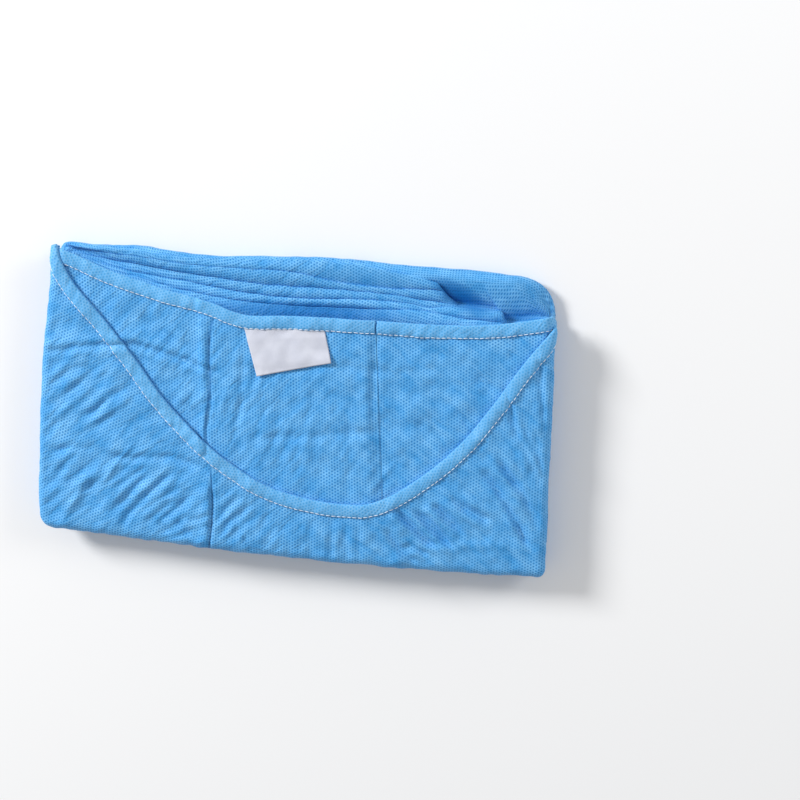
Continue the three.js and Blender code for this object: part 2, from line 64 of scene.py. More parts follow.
# The back neckline and the front neckline, a lopsided U, as x, y. The front neckline's ends are places on
# the cloth laid flat, which turns down over the pack's sides there.
BACK_NECK = [
    (-150, 86.5), (-138, 83), (-129, 79.8), (-116, 75.2), (-104, 71.8), (-90, 68.4), (-77, 65.4), (-63, 63),
    (-50, 60), (-40, 56.8), (-30, 55.2), (-14, 56.4), (4, 57.4), (44, 58), (84, 58.6), (112, 61),
    (131, 64.4), (150, 68.8),
]
FRONT_NECK = [
    (-149.8, 88.6), (-145.2, 78.2), (-138, 66.8), (-126, 54.2), (-110, 37), (-96.2, 20.8), (-81.5, 2.7),
    (-66.9, -12), (-40, -33.2), (-14.6, -46.8), (9.7, -52.6), (30, -54.2), (50.7, -51.7), (75.2, -36.3),
    (100.2, -11.8), (117, 12), (133.2, 38.2), (140.6, 49), (147, 57.2), (152, 61.6), (157, 64.6),
]
NECK_MIDDLE = (4, 75)

# The back panels' edges in the middle, which lean: x at y = 0, and slope.
RIGHT_PANEL_EDGE = (-53.5, -0.071)
LEFT_PANEL_EDGE = (50.8, -0.1)
BACK_SIDE_INSET = 7.5
OVERLAP_RAMP = (5, 1)

# The front panel's roll over the pack's edge: its reach into the pack, and its lowest point.
SIDE_ROLL = (5, 13.8)
BOTTOM_ROLL = (7, 7.6)
ROLL_TURN = math.radians(150)
CORNER_ROUNDS = {"bottom_left": 9, "bottom_right": 6, "far_left": 8, "far_right": 22}
INSET_REFERENCE = 7.0
STEP_SOFTNESS = (4, 16)
FRONT_TOP_LEFT = 87.5
FRONT_TOP_RIGHT = 65.0

STACK_TOP = LAYER_COUNT * LAYER_HEIGHT
LOW_FOLD_TOP = LAYERS_IN_A_FOLD * LAYER_HEIGHT
FAR_ROLL_TOP = 12.5
FAR_ROLL_DROP = (0.35, 120, 148)
PANEL_STEP = PANEL_WALL + SEAM_GAP
BACK_BASE = STACK_TOP + SEAM_GAP
FRONT_TOP = BACK_BASE + 2 * PANEL_STEP + FRONT_WALL

# Real cloth is thinner than the frame's walls: it lies on the walls' upper faces.
CLOTH_THICKNESS = 0.45


# Small helpers on arrays.
def mix(start, end, share):
    return start + (end - start) * share


def smooth(value, start, end):
    t = np.clip((value - start) / (end - start), 0, 1)
    return t * t * (3 - 2 * t)


def along(side, at):
    """A smooth curve through a side's rows, read at every value of at."""
    places = np.array([row[0] for row in side], float)
    edges = np.array([row[1] for row in side], float)
    last = len(side) - 1
    at = np.clip(at, places[0], places[-1])
    rows = np.arange(last + 1)
    low = np.maximum(rows - 1, 0)
    high = np.minimum(rows + 1, last)
    slopes = (edges[high] - edges[low]) / (places[high] - places[low])
    i = np.clip(np.searchsorted(places, at) - 1, 0, last - 1)
    span = places[i + 1] - places[i]
    t = (at - places[i]) / span
    rise = edges[i + 1] - edges[i]
    bend_start = slopes[i] * span - rise
    bend_end = rise - slopes[i + 1] * span
    return edges[i] + rise * t + t * (1 - t) * ((1 - t) * bend_start + t * bend_end)


def left_of(y):
    return along(LEFT_SIDE, y)


def right_of(y):
    return along(RIGHT_SIDE, y)


def bottom_of(x):
    return along(BOTTOM_SIDE, x)


def far_of(x):
    return along(FAR_SIDE, x)


def back_neck_of(x):
    return along(BACK_NECK, x)


def crown(x, y):
    across = np.maximum(0, 1 - (x / CROWN_REACH[0]) ** 4)
    down = np.maximum(0, 1 - (y / CROWN_REACH[1]) ** 4)
    return CROWN * across * down


def edge_at(edge, y):
    return edge[0] + edge[1] * y


def ripple(x, y, wavelength, seed, count=14):
    """A smooth uneven field of about unit height, made of waves in all directions."""
    rng = np.random.default_rng(seed)
    total = np.zeros(np.broadcast(x, y).shape)
    for _ in range(count):
        heading = rng.uniform(0, 2 * math.pi)
        number = 2 * math.pi / (wavelength * rng.uniform(0.7, 1.5))
        phase = rng.uniform(0, 2 * math.pi)
        total += np.cos(number * (x * math.cos(heading) + y * math.sin(heading)) + phase)
    return total / math.sqrt(count / 2)


def waves(x, y, sizes, seed):
    """A sum of ripples. Columns of sizes: height, wavelength."""
    return sum(height * ripple(x, y, length, seed + k) for k, (height, length) in enumerate(sizes))


# The layers' own unevenness, and the lowest and highest that it and the creases may reach together.
RELIEF_WAVES = ((0.3, 26), (0.13, 9))
RELIEF_LIMITS = (-2.2, 1.5)

# Creases that all the layers share, as soft troughs, or ridges where the depth is below zero.
# Columns: depth, width, places along the crease.
CREASES = [
    (0.9, 1.1, [
        (-53.3, 60), (-53.2, 37), (-53, 19), (-51.6, 10), (-50.4, 3), (-52.6, -15), (-51.6, -28),
        (-48, -40),
    ]),
    (1.2, 1.0, [(-48.4, -42), (-47.6, -49), (-46.4, -62), (-46.8, -76), (-48.2, -98)]),
    (-0.6, 3.0, [(-58, 60), (-58, 20), (-57, -10), (-54, -40)]),
    (-0.7, 2.4, [(-52, -44), (-50.6, -62), (-51, -92)]),
    (0.8, 1.3, [(-56.1, -89.9), (-51.9, -87.6), (-48.5, -84.8)]),
    (0.6, 2.0, [(-33, 44), (-32, 10), (-35, -24)]),
    (0.45, 2.4, [(31, 16), (34, -14), (35, -51)]),
    (0.8, 2.2, [(43.4, 54), (46, 36), (45.8, 12), (47.3, -12)]),
    (1.3, 2.0, [(-162, 22), (-142, 26.2), (-131, 29), (-112, 32)]),
    (1.4, 2.0, [(-126, 30), (-101, 33), (-88.7, 31), (-73, 27), (-56, 22.5), (-40, 19)]),
    (0.5, 2.6, [(-50, 26), (-20, 24), (20, 30), (56, 29), (80, 33), (104, 42)]),
    (1.1, 2.2, [(-124, -31), (-107.4, -37.3), (-92, -36), (-73.8, -33.7), (-58.4, -37.3), (-46, -41)]),
    (0.7, 2.0, [(-156, -36), (-140, -35), (-120, -32)]),
    (0.6, 2.6, [(-34, -18), (10, -14), (40, -8), (62, -6)]),
    (0.95, 2.2, [(-83, -79), (-66, -63), (-54.2, -48)]),
    (0.9, 2.0, [(-90, -79), (-80, -70), (-70, -59)]),
    (0.9, 1.8, [(-69.5, -73.5), (-64, -77.5), (-58, -83.5)]),
    (0.8, 1.8, [(-79.8, -75.7), (-76, -78), (-73, -81.6)]),
    (0.8, 1.8, [(-62, -73.5), (-54, -70), (-48, -66)]),
    (1.0, 1.8, [(-42, -80.8), (-36, -72), (-31.7, -63.5)]),
    (0.9, 1.8, [(-42, -66.3), (-35, -59), (-28.6, -52.5)]),
    (0.7, 1.6, [(-33.4, -71.8), (-28, -64), (-22.8, -56.4)]),
    (1.0, 1.5, [(-28, -77), (-21.8, -86.4), (-13, -90)]),
    (1.1, 5.0, [(-127, -55), (-119, -59), (-122, -68)]),
    (-0.8, 3.4, [(-136, -48), (-128, -52), (-112, -46), (-104, -40)]),
    (-0.8, 2.6, [(-141, -88), (-136, -74), (-124, -52), (-114, -42)]),
    (0.9, 2.0, [(-104, -86), (-98, -72), (-86, -58), (-72, -44)]),
    (0.7, 2.0, [(-112, -74), (-100, -62), (-88, -46)]),
    (1.8, 2.0, [(62, -52), (71, -60), (83, -71), (92, -77)]),
    (1.8, 2.1, [(74, -52), (86, -62), (97, -72), (104, -75)]),
    (1.6, 1.9, [(84, -47), (96, -57), (108, -67)]),
    (1.6, 2.1, [(94, -43), (108, -50), (124, -57)]),
    (1.8, 2.3, [(58, -64), (66, -76), (80, -87)]),
    (1.4, 2.1, [(70, -74), (78, -78), (87, -80)]),
    (-0.8, 2.0, [(68, -53), (78, -62), (92, -73)]),
    (-0.8, 2.0, [(80, -48), (92, -59), (104, -68)]),
    (-0.7, 2.0, [(90, -43), (103, -53), (116, -61)]),
    (1.6, 1.8, [(120, -14), (128, -24), (138, -36), (147, -50)]),
    (1.5, 1.7, [(110, -22), (122, -34), (136, -54), (147, -76)]),
    (-1.0, 2.2, [(114, -16), (128, -31), (142, -52), (151, -72)]),
    (0.9, 1.8, [(120, 33), (126, 19), (131.4, 1), (145, -22), (153, -42)]),
    (0.9, 1.8, [(133.8, 7.5), (146.3, -15.7), (154, -34)]),
    (0.8, 1.8, [(139.9, 50), (143.6, 32.5), (148.5, 8.8), (152, -10)]),
    (-0.8, 2.0, [(128, 18), (138, -6), (150, -30)]),
    (-0.6, 2.6, [(60, -88), (84, -77), (104, -72), (130, -70), (150, -72)]),
    (0.5, 2.6, [(13.7, -62), (14.3, -76), (14.9, -92)]),
    (0.6, 1.8, [(26.4, -62), (27, -76), (27.7, -92)]),
    (0.6, 1.7, [(34.9, -62), (35.5, -76), (36.1, -92)]),
    (0.6, 1.8, [(42.8, -62), (43.4, -76), (44, -92)]),
    (0.7, 2.0, [(86, 47), (101, 36), (118, 22)]),
    (-0.6, 2.2, [(92, 50), (108, 38), (126, 24)]),
    (-0.6, 2.4, [(78, 12), (90, 5), (104, -4)]),
    (0.6, 2.2, [(70, 2), (84, -8), (98, -22)]),
    (-0.6, 2.4, [(52, -2), (60, -14), (70, -30)]),
    (0.5, 3.0, [(20, 6), (30, -2), (40, -14)]),
    (0.6, 2.6, [(-8, 4), (-10, -12), (-14, -30)]),
    (-0.5, 3.0, [(10, 0), (9, -16), (6, -36)]),
    (0.8, 2.2, [(-96, 56), (-84, 43), (-70, 34)]),
    (0.7, 2.4, [(-88, 14), (-76, 6), (-62, -6)]),
    (-0.6, 2.6, [(-112, 66), (-98, 54), (-84, 48)]),
    (0.9, 1.9, [(-153, -30), (-149.7, -25), (-142, -15.6)]),
    (0.9, 1.9, [(-156, -25), (-151.7, -20), (-143, -9.5), (-134, -2)]),
    (1.0, 2.0, [(-128, -17), (-118, -6), (-107, 3.5), (-100, 8)]),
    (1.0, 2.0, [(-154, -12), (-140, -2), (-124, 12)]),
    (0.9, 2.0, [(-153, 2), (-141, 10), (-128, 20)]),
    (-0.8, 2.2, [(-150, -18), (-134, -4), (-116, 14)]),
    (0.9, 1.9, [(-150, -41), (-142, -36), (-130, -28)]),
    (0.8, 1.8, [(-152, -60), (-144, -54), (-136, -44)]),
    (0.8, 1.8, [(-151, -72), (-146, -68), (-138, -60)]),
]

# Fans of finer wrinkles. Columns: x and y of the middle, heading in degrees, number, spacing, length,
# depth, seed.
FANS = [
    (-128, 4, 42, 9, 6.0, 32, 0.55, 1),
    (-112, 46, 52, 6, 5.5, 22, 0.35, 2),
    (-86, -56, 42, 11, 6.0, 30, 0.6, 3),
    (-130, -58, 48, 7, 5.5, 20, 0.5, 4),
    (-40, -74, 56, 6, 6.0, 20, 0.5, 5),
    (-12, -76, 66, 7, 6.0, 20, 0.4, 16),
    (14, -76, 88, 7, 6.5, 24, 0.35, 6),
    (68, -70, -46, 7, 5.5, 28, 0.45, 7),
    (102, -56, -38, 8, 5.0, 28, 0.45, 8),
    (132, -58, -58, 7, 5.0, 30, 0.5, 9),
    (142, -6, -70, 7, 4.0, 40, 0.45, 10),
    (104, 14, -42, 8, 7.0, 28, 0.45, 11),
    (70, 34, -36, 7, 7.5, 26, 0.35, 12),
    (-72, 18, 46, 8, 7.0, 24, 0.4, 13),
    (-20, -18, 70, 9, 7.0, 28, 0.35, 14),
    (40, -26, 62, 9, 6.5, 24, 0.35, 15),
    (-10, 12, 80, 8, 7.0, 24, 0.3, 17),
    (100, -22, -50, 7, 6.0, 24, 0.4, 18),
]


def crease(x, y, depth, width, places):
    """A soft trough with low shoulders along a line of places, shallower towards its ends."""
    line = np.array(places, float)
    lengths = np.linalg.norm(np.diff(line, axis=0), axis=1)
    reached = np.concatenate([[0], np.cumsum(lengths)])
    nearest = np.full(np.shape(x), 1e9)
    share = np.zeros(np.shape(x))
    for k, length in enumerate(lengths):
        step = (line[k + 1] - line[k]) / length
        held = np.clip((x - line[k, 0]) * step[0] + (y - line[k, 1]) * step[1], 0, length)
        off = np.hypot(x - line[k, 0] - step[0] * held, y - line[k, 1] - step[1] * held)
        closer = off < nearest
        nearest = np.where(closer, off, nearest)
        share = np.where(closer, (reached[k] + held) / reached[-1], share)
    ends = smooth(share, 0, 0.22) * (1 - smooth(share, 0.78, 1.0))
    trough = np.exp(-((nearest / width) ** 2))
    shoulders = np.exp(-(((nearest - 2.1 * width) / (1.1 * width)) ** 2))
    return depth * ends * (0.3 * shoulders - trough)


def fan_rows(x, y, heading, number, spacing, length, depth, seed):
    rng = np.random.default_rng(seed)
    rows = []
    for i in range(number):
        turn = math.radians(heading + rng.uniform(-9, 9) + (i - number / 2) * 1.6)
        ahead = np.array([math.cos(turn), math.sin(turn)])
        across = np.array([-ahead[1], ahead[0]])
        aside = (i - (number - 1) / 2) * spacing + rng.uniform(-0.3, 0.3) * spacing
        middle = np.array([x, y]) + across * aside + ahead * rng.uniform(-0.3, 0.3) * length
        reach = ahead * length * rng.uniform(0.3, 0.62)
        bow = across * rng.uniform(-2, 2)
        rows.append((
            depth * rng.uniform(0.5, 1.4) * rng.choice([1, 1, -0.8]), rng.uniform(1.3, 2.1),
            [middle - reach, middle + bow, middle + reach],
        ))
    return rows


ALL_CREASES = CREASES + [row for fan in FANS for row in fan_rows(*fan)]


def relief(x, y):
    """The height that creases and soft unevenness add to every layer of the pack."""
    x, y = np.broadcast_arrays(np.asarray(x, float), np.asarray(y, float))
    total = waves(x, y, RELIEF_WAVES, 21)
    for row in ALL_CREASES:
        total = total + crease(x, y, *row)
    inside = smooth(x - left_of(y), 0, 7) * smooth(right_of(y) - x, 0, 7) * smooth(y - bottom_of(x), 0, 6)
    return np.clip(total, *RELIEF_LIMITS) * (0.25 + 0.75 * inside)


# Meshes and pieces.
def add_object(name, data):
    obj = bpy.data.objects.new(name, data)
    bpy.context.scene.collection.objects.link(obj)
    return obj


def to_mesh(name, points, faces, uvs, material):
    """A mesh object from points in millimetres, with one UV pair in millimetres of cloth for each point."""
    mesh = bpy.data.meshes.new(name)
    placed = (np.asarray(points, float).reshape(-1, 3) + FRAME_SHIFT) * METRES
    mesh.from_pydata(placed.tolist(), [], [list(map(int, f)) for f in faces])
    if uvs is not None:
        layer = mesh.uv_layers.new(name="cloth")
        corner_points = np.zeros(len(mesh.loops), np.int32)
        mesh.loops.foreach_get("vertex_index", corner_points)
        flat = np.asarray(uvs, float).reshape(-1, 2)[corner_points]
        layer.data.foreach_set("uv", flat.astype(np.float32).ravel())
    mesh.polygons.foreach_set("use_smooth", [True] * len(mesh.polygons))
    mesh.update()
    mesh.materials.append(material)
    return add_object(name, mesh)


def normals_of(grid):
    """The unit normal at each point of a grid of points."""
    down = np.gradient(grid, axis=0)
    across = np.gradient(grid, axis=1)
    normal = np.cross(down, across)
    size = np.linalg.norm(normal, axis=2, keepdims=True)
    return normal / np.maximum(size, 1e-9)


def grid_faces(rows, columns, offset=0, flip=False, closed=False):
    """The corners of each cell of a grid. A closed grid joins its last column to its first."""
    i, j = np.meshgrid(np.arange(rows - 1), np.arange(columns if closed else columns - 1), indexing="ij")
    near, far = i * columns, (i + 1) * columns
    following = (j + 1) % columns
    quads = np.stack([near + j, far + j, far + following, near + following], -1).reshape(-1, 4) + offset
    return quads[:, ::-1] if flip else quads


def border(rows, columns):
    """The points round a grid's border, in order."""
    top = [(0, j) for j in range(columns)]
    right = [(i, columns - 1) for i in range(1, rows)]
    bottom = [(rows - 1, j) for j in range(columns - 2, -1, -1)]
    left = [(i, 0) for i in range(rows - 2, 0, -1)]
    return [i * columns + j for i, j in top + right + bottom + left]


def shell(name, upper, lower, uvs, material):
    """A closed thin shell between two grids of points."""
    rows, columns = upper.shape[:2]
    count = rows * columns
    facing_up = normals_of(upper)[rows // 2, columns // 2, 2] > 0
    top = grid_faces(rows, columns, 0, flip=not facing_up)
    under = grid_faces(rows, columns, count, flip=facing_up)
    ring = border(rows, columns)
    sides = []
    for a, b in zip(ring, ring[1:] + ring[:1]):
        sides.append((a, b, b + count, a + count) if facing_up else (b, a, a + count, b + count))
    points = np.concatenate([upper.reshape(-1, 3), lower.reshape(-1, 3)])
    both = np.concatenate([uvs.reshape(-1, 2)] * 2)
    return to_mesh(name, points, [*top, *under, *sides], both, material)


def cloth_shell(name, upper, uvs, material, thickness=CLOTH_THICKNESS):
    """A thin shell whose lower face lies a cloth's thickness under its upper one."""
    normals = normals_of(upper)
    if normals[upper.shape[0] // 2, upper.shape[1] // 2, 2] < 0:
        normals = -normals
    return shell(name, upper, upper - normals * thickness, uvs, material)


def turned(x, y, degrees):
    """Cloth coordinates of places on the pack, for cloth whose grain is turned."""
    a = math.radians(degrees)
    return np.stack([x * math.cos(a) - y * math.sin(a), x * math.sin(a) + y * math.cos(a)], -1)


# The outline as one line of points: down the left side, along the bottom and up the right side.
def corner_curve(start, turn, end, steps):
    t = (np.arange(1, steps) / steps)[:, None]
    return (1 - t) ** 2 * start + 2 * t * (1 - t) * turn + t**2 * end


def rim(inset, left_top, right_top, side, bottom, corner):
    """The outline drawn in by an inset, with side, bottom and corner steps in its parts."""
    left_round = max(CORNER_ROUNDS["bottom_left"] - inset, 1.2)
    right_round = max(CORNER_ROUNDS["bottom_right"] - inset, 1.2)
    low = float(bottom_of(BOTTOM_SIDE[0][0])) + inset
    low_right = float(bottom_of(BOTTOM_SIDE[-1][0])) + inset
    y = np.linspace(left_top, low + left_round, side + 1)
    down = np.stack([left_of(y) + inset, y], -1)
    left = float(left_of(low)) + inset
    right = float(right_of(low_right)) - inset
    x = np.linspace(left + left_round, right - right_round, bottom + 1)
    floor_line = np.stack([x, bottom_of(x) + inset], -1)
    y = np.linspace(low_right + right_round, right_top, side + 1)
    up = np.stack([right_of(y) - inset, y], -1)
    return np.concatenate([
        down,
        corner_curve(down[-1], np.array([left, low]), floor_line[0], corner),
        floor_line,
        corner_curve(floor_line[-1], np.array([right, low_right]), up[0], corner),
        up,
    ])


def bottom_shares(side, bottom, corner):
    """How far each point of a rim belongs to the bottom, and not to a side."""
    rise = np.arange(1, corner) / corner
    return np.concatenate([np.zeros(side + 1), rise, np.ones(bottom + 1), rise[::-1], np.zeros(side + 1)])


def arc_lengths(points):
    """How far along a line each of its points lies."""
    steps = np.linalg.norm(np.diff(points, axis=0), axis=1)
    return np.concatenate([[0], np.cumsum(steps)])


# Where the frame's origin lies in these coordinates: the frame is centred on its own box.
front_low, front_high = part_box("front_panel")
whole_rim = rim(0, FRONT_TOP_LEFT, FRONT_TOP_RIGHT, 60, 80, 8)
FRAME_SHIFT = np.array([
    (front_low.x + front_high.x) / 2 / METRES - (whole_rim[:, 0].min() + whole_rim[:, 0].max()) / 2,
    front_low.y / METRES - whole_rim[:, 1].min(),
    0,
])


# Materials.
class Field:
    """A node socket that sums can be made of. Each step makes a Math node."""

    def __init__(self, socket):
        self.socket = socket
        self.tree = socket.id_data

    def __add__(self, other):
        return maths("ADD", self, other)

    def __sub__(self, other):
        return maths("SUBTRACT", self, other)

    def __rsub__(self, other):
        return maths("SUBTRACT", other, self)

    def __mul__(self, other):
        return maths("MULTIPLY", self, other)

    def __truediv__(self, other):
        return maths("DIVIDE", self, other)

    def clamped(self):
        """The same field, held between 0 and 1."""
        self.socket.node.use_clamp = True
        return self


def tree_of(*values):
    return next(value.tree for value in values if isinstance(value, Field))


def set_input(target, value):
    """Set a socket to a number, a vector or an opaque colour, or link a field to it."""
    if isinstance(value, Field):
        value.tree.links.new(value.socket, target)
    elif isinstance(value, tuple) and len(value) < len(target.default_value):
        target.default_value = (*value, 1)
    else:
        target.default_value = value


def add_node(tree, kind, inputs=None, **settings):
    node = tree.nodes.new(kind)
    for key, value in settings.items():
        setattr(node, key, value)
    for key, value in (inputs or {}).items():
        set_input(node.inputs[key], value)
    return node


def maths(operation, *values):
    node = add_node(tree_of(*values), "ShaderNodeMath", dict(enumerate(values)), operation=operation)
    return Field(node.outputs[0])


def ramp(value, stops):
    node = add_node(value.tree, "ShaderNodeValToRGB", {0: value})
    for element, (place, colour) in zip(node.color_ramp.elements, stops):
        element.position = place
        element.color = (*colour, 1)
    return Field(node.outputs[0])


def noise(vector, scale, detail=2.0, roughness=0.5, distortion=0.0):
    inputs = {"Vector": vector, "Scale": scale, "Detail": detail, "Roughness": roughness}
    inputs["Distortion"] = distortion
    return Field(add_node(vector.tree, "ShaderNodeTexNoise", inputs).outputs["Fac"])


def stretched(vector, scale, turn=0.0):
    """A texture vector turned about z, then scaled."""
    if turn:
        inputs = {"Vector": vector, "Rotation": (0.0, 0.0, math.radians(turn))}
        vector = Field(add_node(vector.tree, "ShaderNodeMapping", inputs).outputs[0])
    return Field(add_node(vector.tree, "ShaderNodeMapping", {"Vector": vector, "Scale": scale}).outputs[0])


def mixed(share, first, second, kind="MIX"):
    inputs = {"Factor": share, "A": first, "B": second}
    tree = tree_of(share, first, second)
    node = add_node(tree, "ShaderNodeMix", inputs, data_type="RGBA", blend_type=kind)
    return Field(node.outputs["Result"])


def bump(height, strength, distance, under=None):
    inputs = {"Height": height, "Strength": strength, "Distance": distance}
    if under:
        inputs["Normal"] = under
    return Field(add_node(height.tree, "ShaderNodeBump", inputs).outputs[0])


def separated(vector):
    node = add_node(vector.tree, "ShaderNodeSeparateXYZ", {0: vector})
    return [Field(output) for output in node.outputs]


def node_tree(name):
    material = bpy.data.materials.new(name)
    material.use_nodes = True
    material.node_tree.nodes.clear()
    return material, material.node_tree


def finished(material, inputs):
    """Give a material its one shader."""
    shader = add_node(material.node_tree, "ShaderNodeBsdfPrincipled", inputs)
    add_node(material.node_tree, "ShaderNodeOutputMaterial", {0: Field(shader.outputs[0])})
    return material


def cloth_place(tree):
    """A point's place on its cloth laid flat, in millimetres."""
    return Field(add_node(tree, "ShaderNodeUVMap", uv_map="cloth").outputs[0])


def object_place(tree):
    """A point's place in its object, in metres."""
    return Field(add_node(tree, "ShaderNodeTexCoord").outputs["Object"])


def pack_place(tree):
    """The x, y and z of a point on the pack, in millimetres."""
    parts = separated(object_place(tree))
    return [part * (1 / METRES) - float(shift) for part, shift in zip(parts, FRAME_SHIFT)]


DOT_PITCH = 1.93
DOT_RADIUS = 0.52
STREAK_SCALE = (0.045, 0.17, 1.0)


def dot_distance(u, v, shift):
    """The distance in millimetres from a point to the nearest place of one of the two oblong grids that
    make a six-sided pattern. Whole pitches are added so that every place is above zero."""
    squares = []
    for value, pitch in ((u, DOT_PITCH * math.sqrt(3)), (v, DOT_PITCH)):
        off = (maths("FRACT", value / pitch + (1000.5 + shift)) - 0.5) * pitch
        squares.append(off * off)
    return maths("SQRT", squares[0] + squares[1])


def crease_shade(x, y, line):
    """How strongly painted shade darkens the cloth along a sharp crease. line gives its x at a y, how it
    bends away from there, how it waves, its width, its upper and lower ends, and its strength."""
    at_x, at_y, bend, wave, width, upper, lower, strength = line
    off_y = y - at_y
    centre = off_y * off_y * bend + maths("SINE", y * 0.13) * wave + at_x
    near = (1.0 - maths("ABSOLUTE", x - centre) / width).clamped()
    within = ((upper - y) * 0.2).clamped() * ((y - lower) * 0.2).clamped()
    return near * within * strength


def hollow_shade(x, y, z, hollow):
    """How strongly painted shade darkens the cloth in a hollow between folds. hollow gives its middle, its
    turn in degrees, its reach along and across, and its strength. The underside keeps its colour."""
    at_x, at_y, degrees, reach_along, reach_across, strength = hollow
    ahead, aside = math.cos(math.radians(degrees)), math.sin(math.radians(degrees))
    off_x, off_y = x - at_x, y - at_y
    lengthwise = off_x * (ahead / reach_along) + off_y * (aside / reach_along)
    crosswise = off_x * (-aside / reach_across) + off_y * (ahead / reach_across)
    near = (1.0 - (lengthwise * lengthwise + crosswise * crosswise)).clamped()
    return near * ((z - 2.0) * 0.3).clamped() * strength


def nonwoven(name, pale, deep, dot, dot_depth=1.0, line=None, shaded_hollows=()):
    """Blue spunbond cloth: a field of small pressed bonds, fine fibres between them, soft mottling, and
    streaks that rise to the right on the left of the pack and fall to the right on its right."""
    material, tree = node_tree(name)
    uv = cloth_place(tree)
    u, v = separated(uv)[:2]
    x, y, z = pack_place(tree)
    near = maths("MINIMUM", dot_distance(u, v, 0.0), dot_distance(u, v, 0.5))
    radius = noise(uv, 1.1, 1.0) * 0.3 + (DOT_RADIUS - 0.15)
    bond = ((radius - near) * 3.4 + 0.5).clamped()
    fibres = noise(stretched(uv, (2.4, 0.75, 1.0)), 1.0, 4.0, 0.65, 0.6)
    cloud = noise(uv, 0.07, 3.0, 0.6)
    fleck = noise(uv, 0.42, 2.0, 0.6)
    rising = noise(stretched(uv, STREAK_SCALE, -48.0), 1.0, 2.5, 0.55, 0.4)
    falling = noise(stretched(uv, STREAK_SCALE, 44.0), 1.0, 2.5, 0.55, 0.4)
    to_right = (x * 0.02 + 0.1).clamped()
    streaks = falling * to_right + rising * (1.0 - to_right)
    base = ramp(cloud * 0.4 + fleck * 0.2 + streaks * 0.4, [(0.37, deep), (0.63, pale)])
    fibre_light = ramp(fibres, [(0.35, (0.82, 0.88, 0.94)), (0.7, (1.0, 1.0, 1.0))])
    colour = mixed(bond * 0.85, mixed(0.8, base, fibre_light, "MULTIPLY"), dot)
    # Painted shade along a sharp crease darkens the colour.
    if line:
        colour = mixed(crease_shade(x, y, line), colour, CREASE_SHADE_COLOUR)
    # Painted shade in each hollow between folds darkens the colour, but not on the underside.
    for hollow in shaded_hollows:
        colour = mixed(hollow_shade(x, y, z, hollow), colour, HOLLOW_SHADE_COLOUR)
    wrinkled = bump(streaks, 0.6, 0.0022)
    return finished(material, {
        "Base Color": colour,
        "Roughness": 0.66 - bond * 0.2,
        "Specular IOR Level": 0.24,
        "Sheen Weight": 0.03,
        "Sheen Roughness": 0.45,
        "Normal": bump(fibres * 0.3 - bond * dot_depth, 0.55, 0.00022, wrinkled),
    })


def thread_material():
    material, tree = node_tree("white_thread")
    twist = noise(stretched(object_place(tree), (900.0, 900.0, 900.0)), 2.0)
    colour = ramp(twist, [(0.3, (0.72, 0.8, 0.88)), (0.7, (0.95, 0.97, 0.98))])
    return finished(material, {"Base Color": colour, "Roughness": 0.5})


def label_material():
    """White woven tape: fine crossing threads, a little uneven."""
    material, tree = node_tree("label_tape")
    uv = cloth_place(tree)
    threads = []
    for direction in ("X", "Y"):
        inputs = {"Vector": uv, "Scale": 0.85, "Distortion": 0.5, "Detail": 1.0}
        wave = add_node(tree, "ShaderNodeTexWave", inputs, wave_type="BANDS", bands_direction=direction)
        threads.append(Field(wave.outputs["Fac"]))
    weave = threads[0] * threads[1]
    tone = weave * 0.3 + noise(uv, 0.09) * 0.7
    colour = ramp(tone, [(0.25, (0.55, 0.57, 0.66)), (0.7, (0.68, 0.7, 0.78))])
    return finished(material, {"Base Color": colour, "Roughness": 0.72, "Normal": bump(weave, 0.4, 0.0001)})


# The colour of painted shade along a sharp crease.
CREASE_SHADE_COLOUR = (0.004, 0.09, 0.3)
# The colour of painted shade in each hollow between folds.
HOLLOW_SHADE_COLOUR = (0.002, 0.16, 0.5)
CLOTH_TONES = ((0.2, 0.53, 0.88), (0.065, 0.35, 0.73), (0.004, 0.17, 0.5))
# Painted shade along a sharp crease of the front panel and of the left back panel.
# Columns: x and y of a place, bend, wave, width, upper and lower ends, strength.
FRONT_CREASE_SHADE = (-46.3, -66.0, -0.0035, 0.2, 0.75, -38.0, -200.0, 0.85)
BACK_CREASE_SHADE = (-52.4, 10.0, 0.0, 0.9, 1.4, 62.0, -44.0, 0.6)
# Painted shade in each hollow between the folds behind the neck.
# Columns: x, y, turn in degrees, reach along and across, strength.
SHADED_HOLLOWS = [(93, 76, -26, 23, 8, 0.95), (0, 61, 2, 70, 6, 0.8), (128, 66, 6, 22, 4.5, 0.6)]
CLOTH = nonwoven("gown_nonwoven", *CLOTH_TONES)
# The folded layers carry painted shade in each hollow between folds.
FOLD_CLOTH = nonwoven("fold_nonwoven_hollow_shade", *CLOTH_TONES, shaded_hollows=SHADED_HOLLOWS)
# The front panel and the left back panel carry painted shade along a sharp crease.
FRONT_CLOTH = nonwoven("front_nonwoven_crease_shade", *CLOTH_TONES, line=FRONT_CREASE_SHADE)
BACK_CLOTH = nonwoven("back_nonwoven_crease_shade", *CLOTH_TONES, line=BACK_CREASE_SHADE)
BINDING = nonwoven("binding_nonwoven", (0.2, 0.5, 0.82), (0.12, 0.41, 0.75), (0.05, 0.31, 0.65), 0.6)
THREAD = thread_material()
LABEL_TAPE = label_material()


# The front panel.
FRONT_SIDE, FRONT_BOTTOM, FRONT_CORNER = 110, 250, 12
FRONT_FLAT, FRONT_ROLL = 58, 22


def overlap_drop(x, y):
    """How much lower the front lies where only one back panel is under it."""
    beyond_right = smooth(edge_at(RIGHT_PANEL_EDGE, y) - x, *STEP_SOFTNESS)
    beyond_left = smooth(x - edge_at(LEFT_PANEL_EDGE, y), *STEP_SOFTNESS)
    return PANEL_STEP * np.maximum(beyond_right, beyond_left)


def angle_from_neck(points):
    angle = np.arctan2(points[:, 1] - NECK_MIDDLE[1], points[:, 0] - NECK_MIDDLE[0])
    return np.where(angle < math.pi / 2, angle + 2 * math.pi, angle)


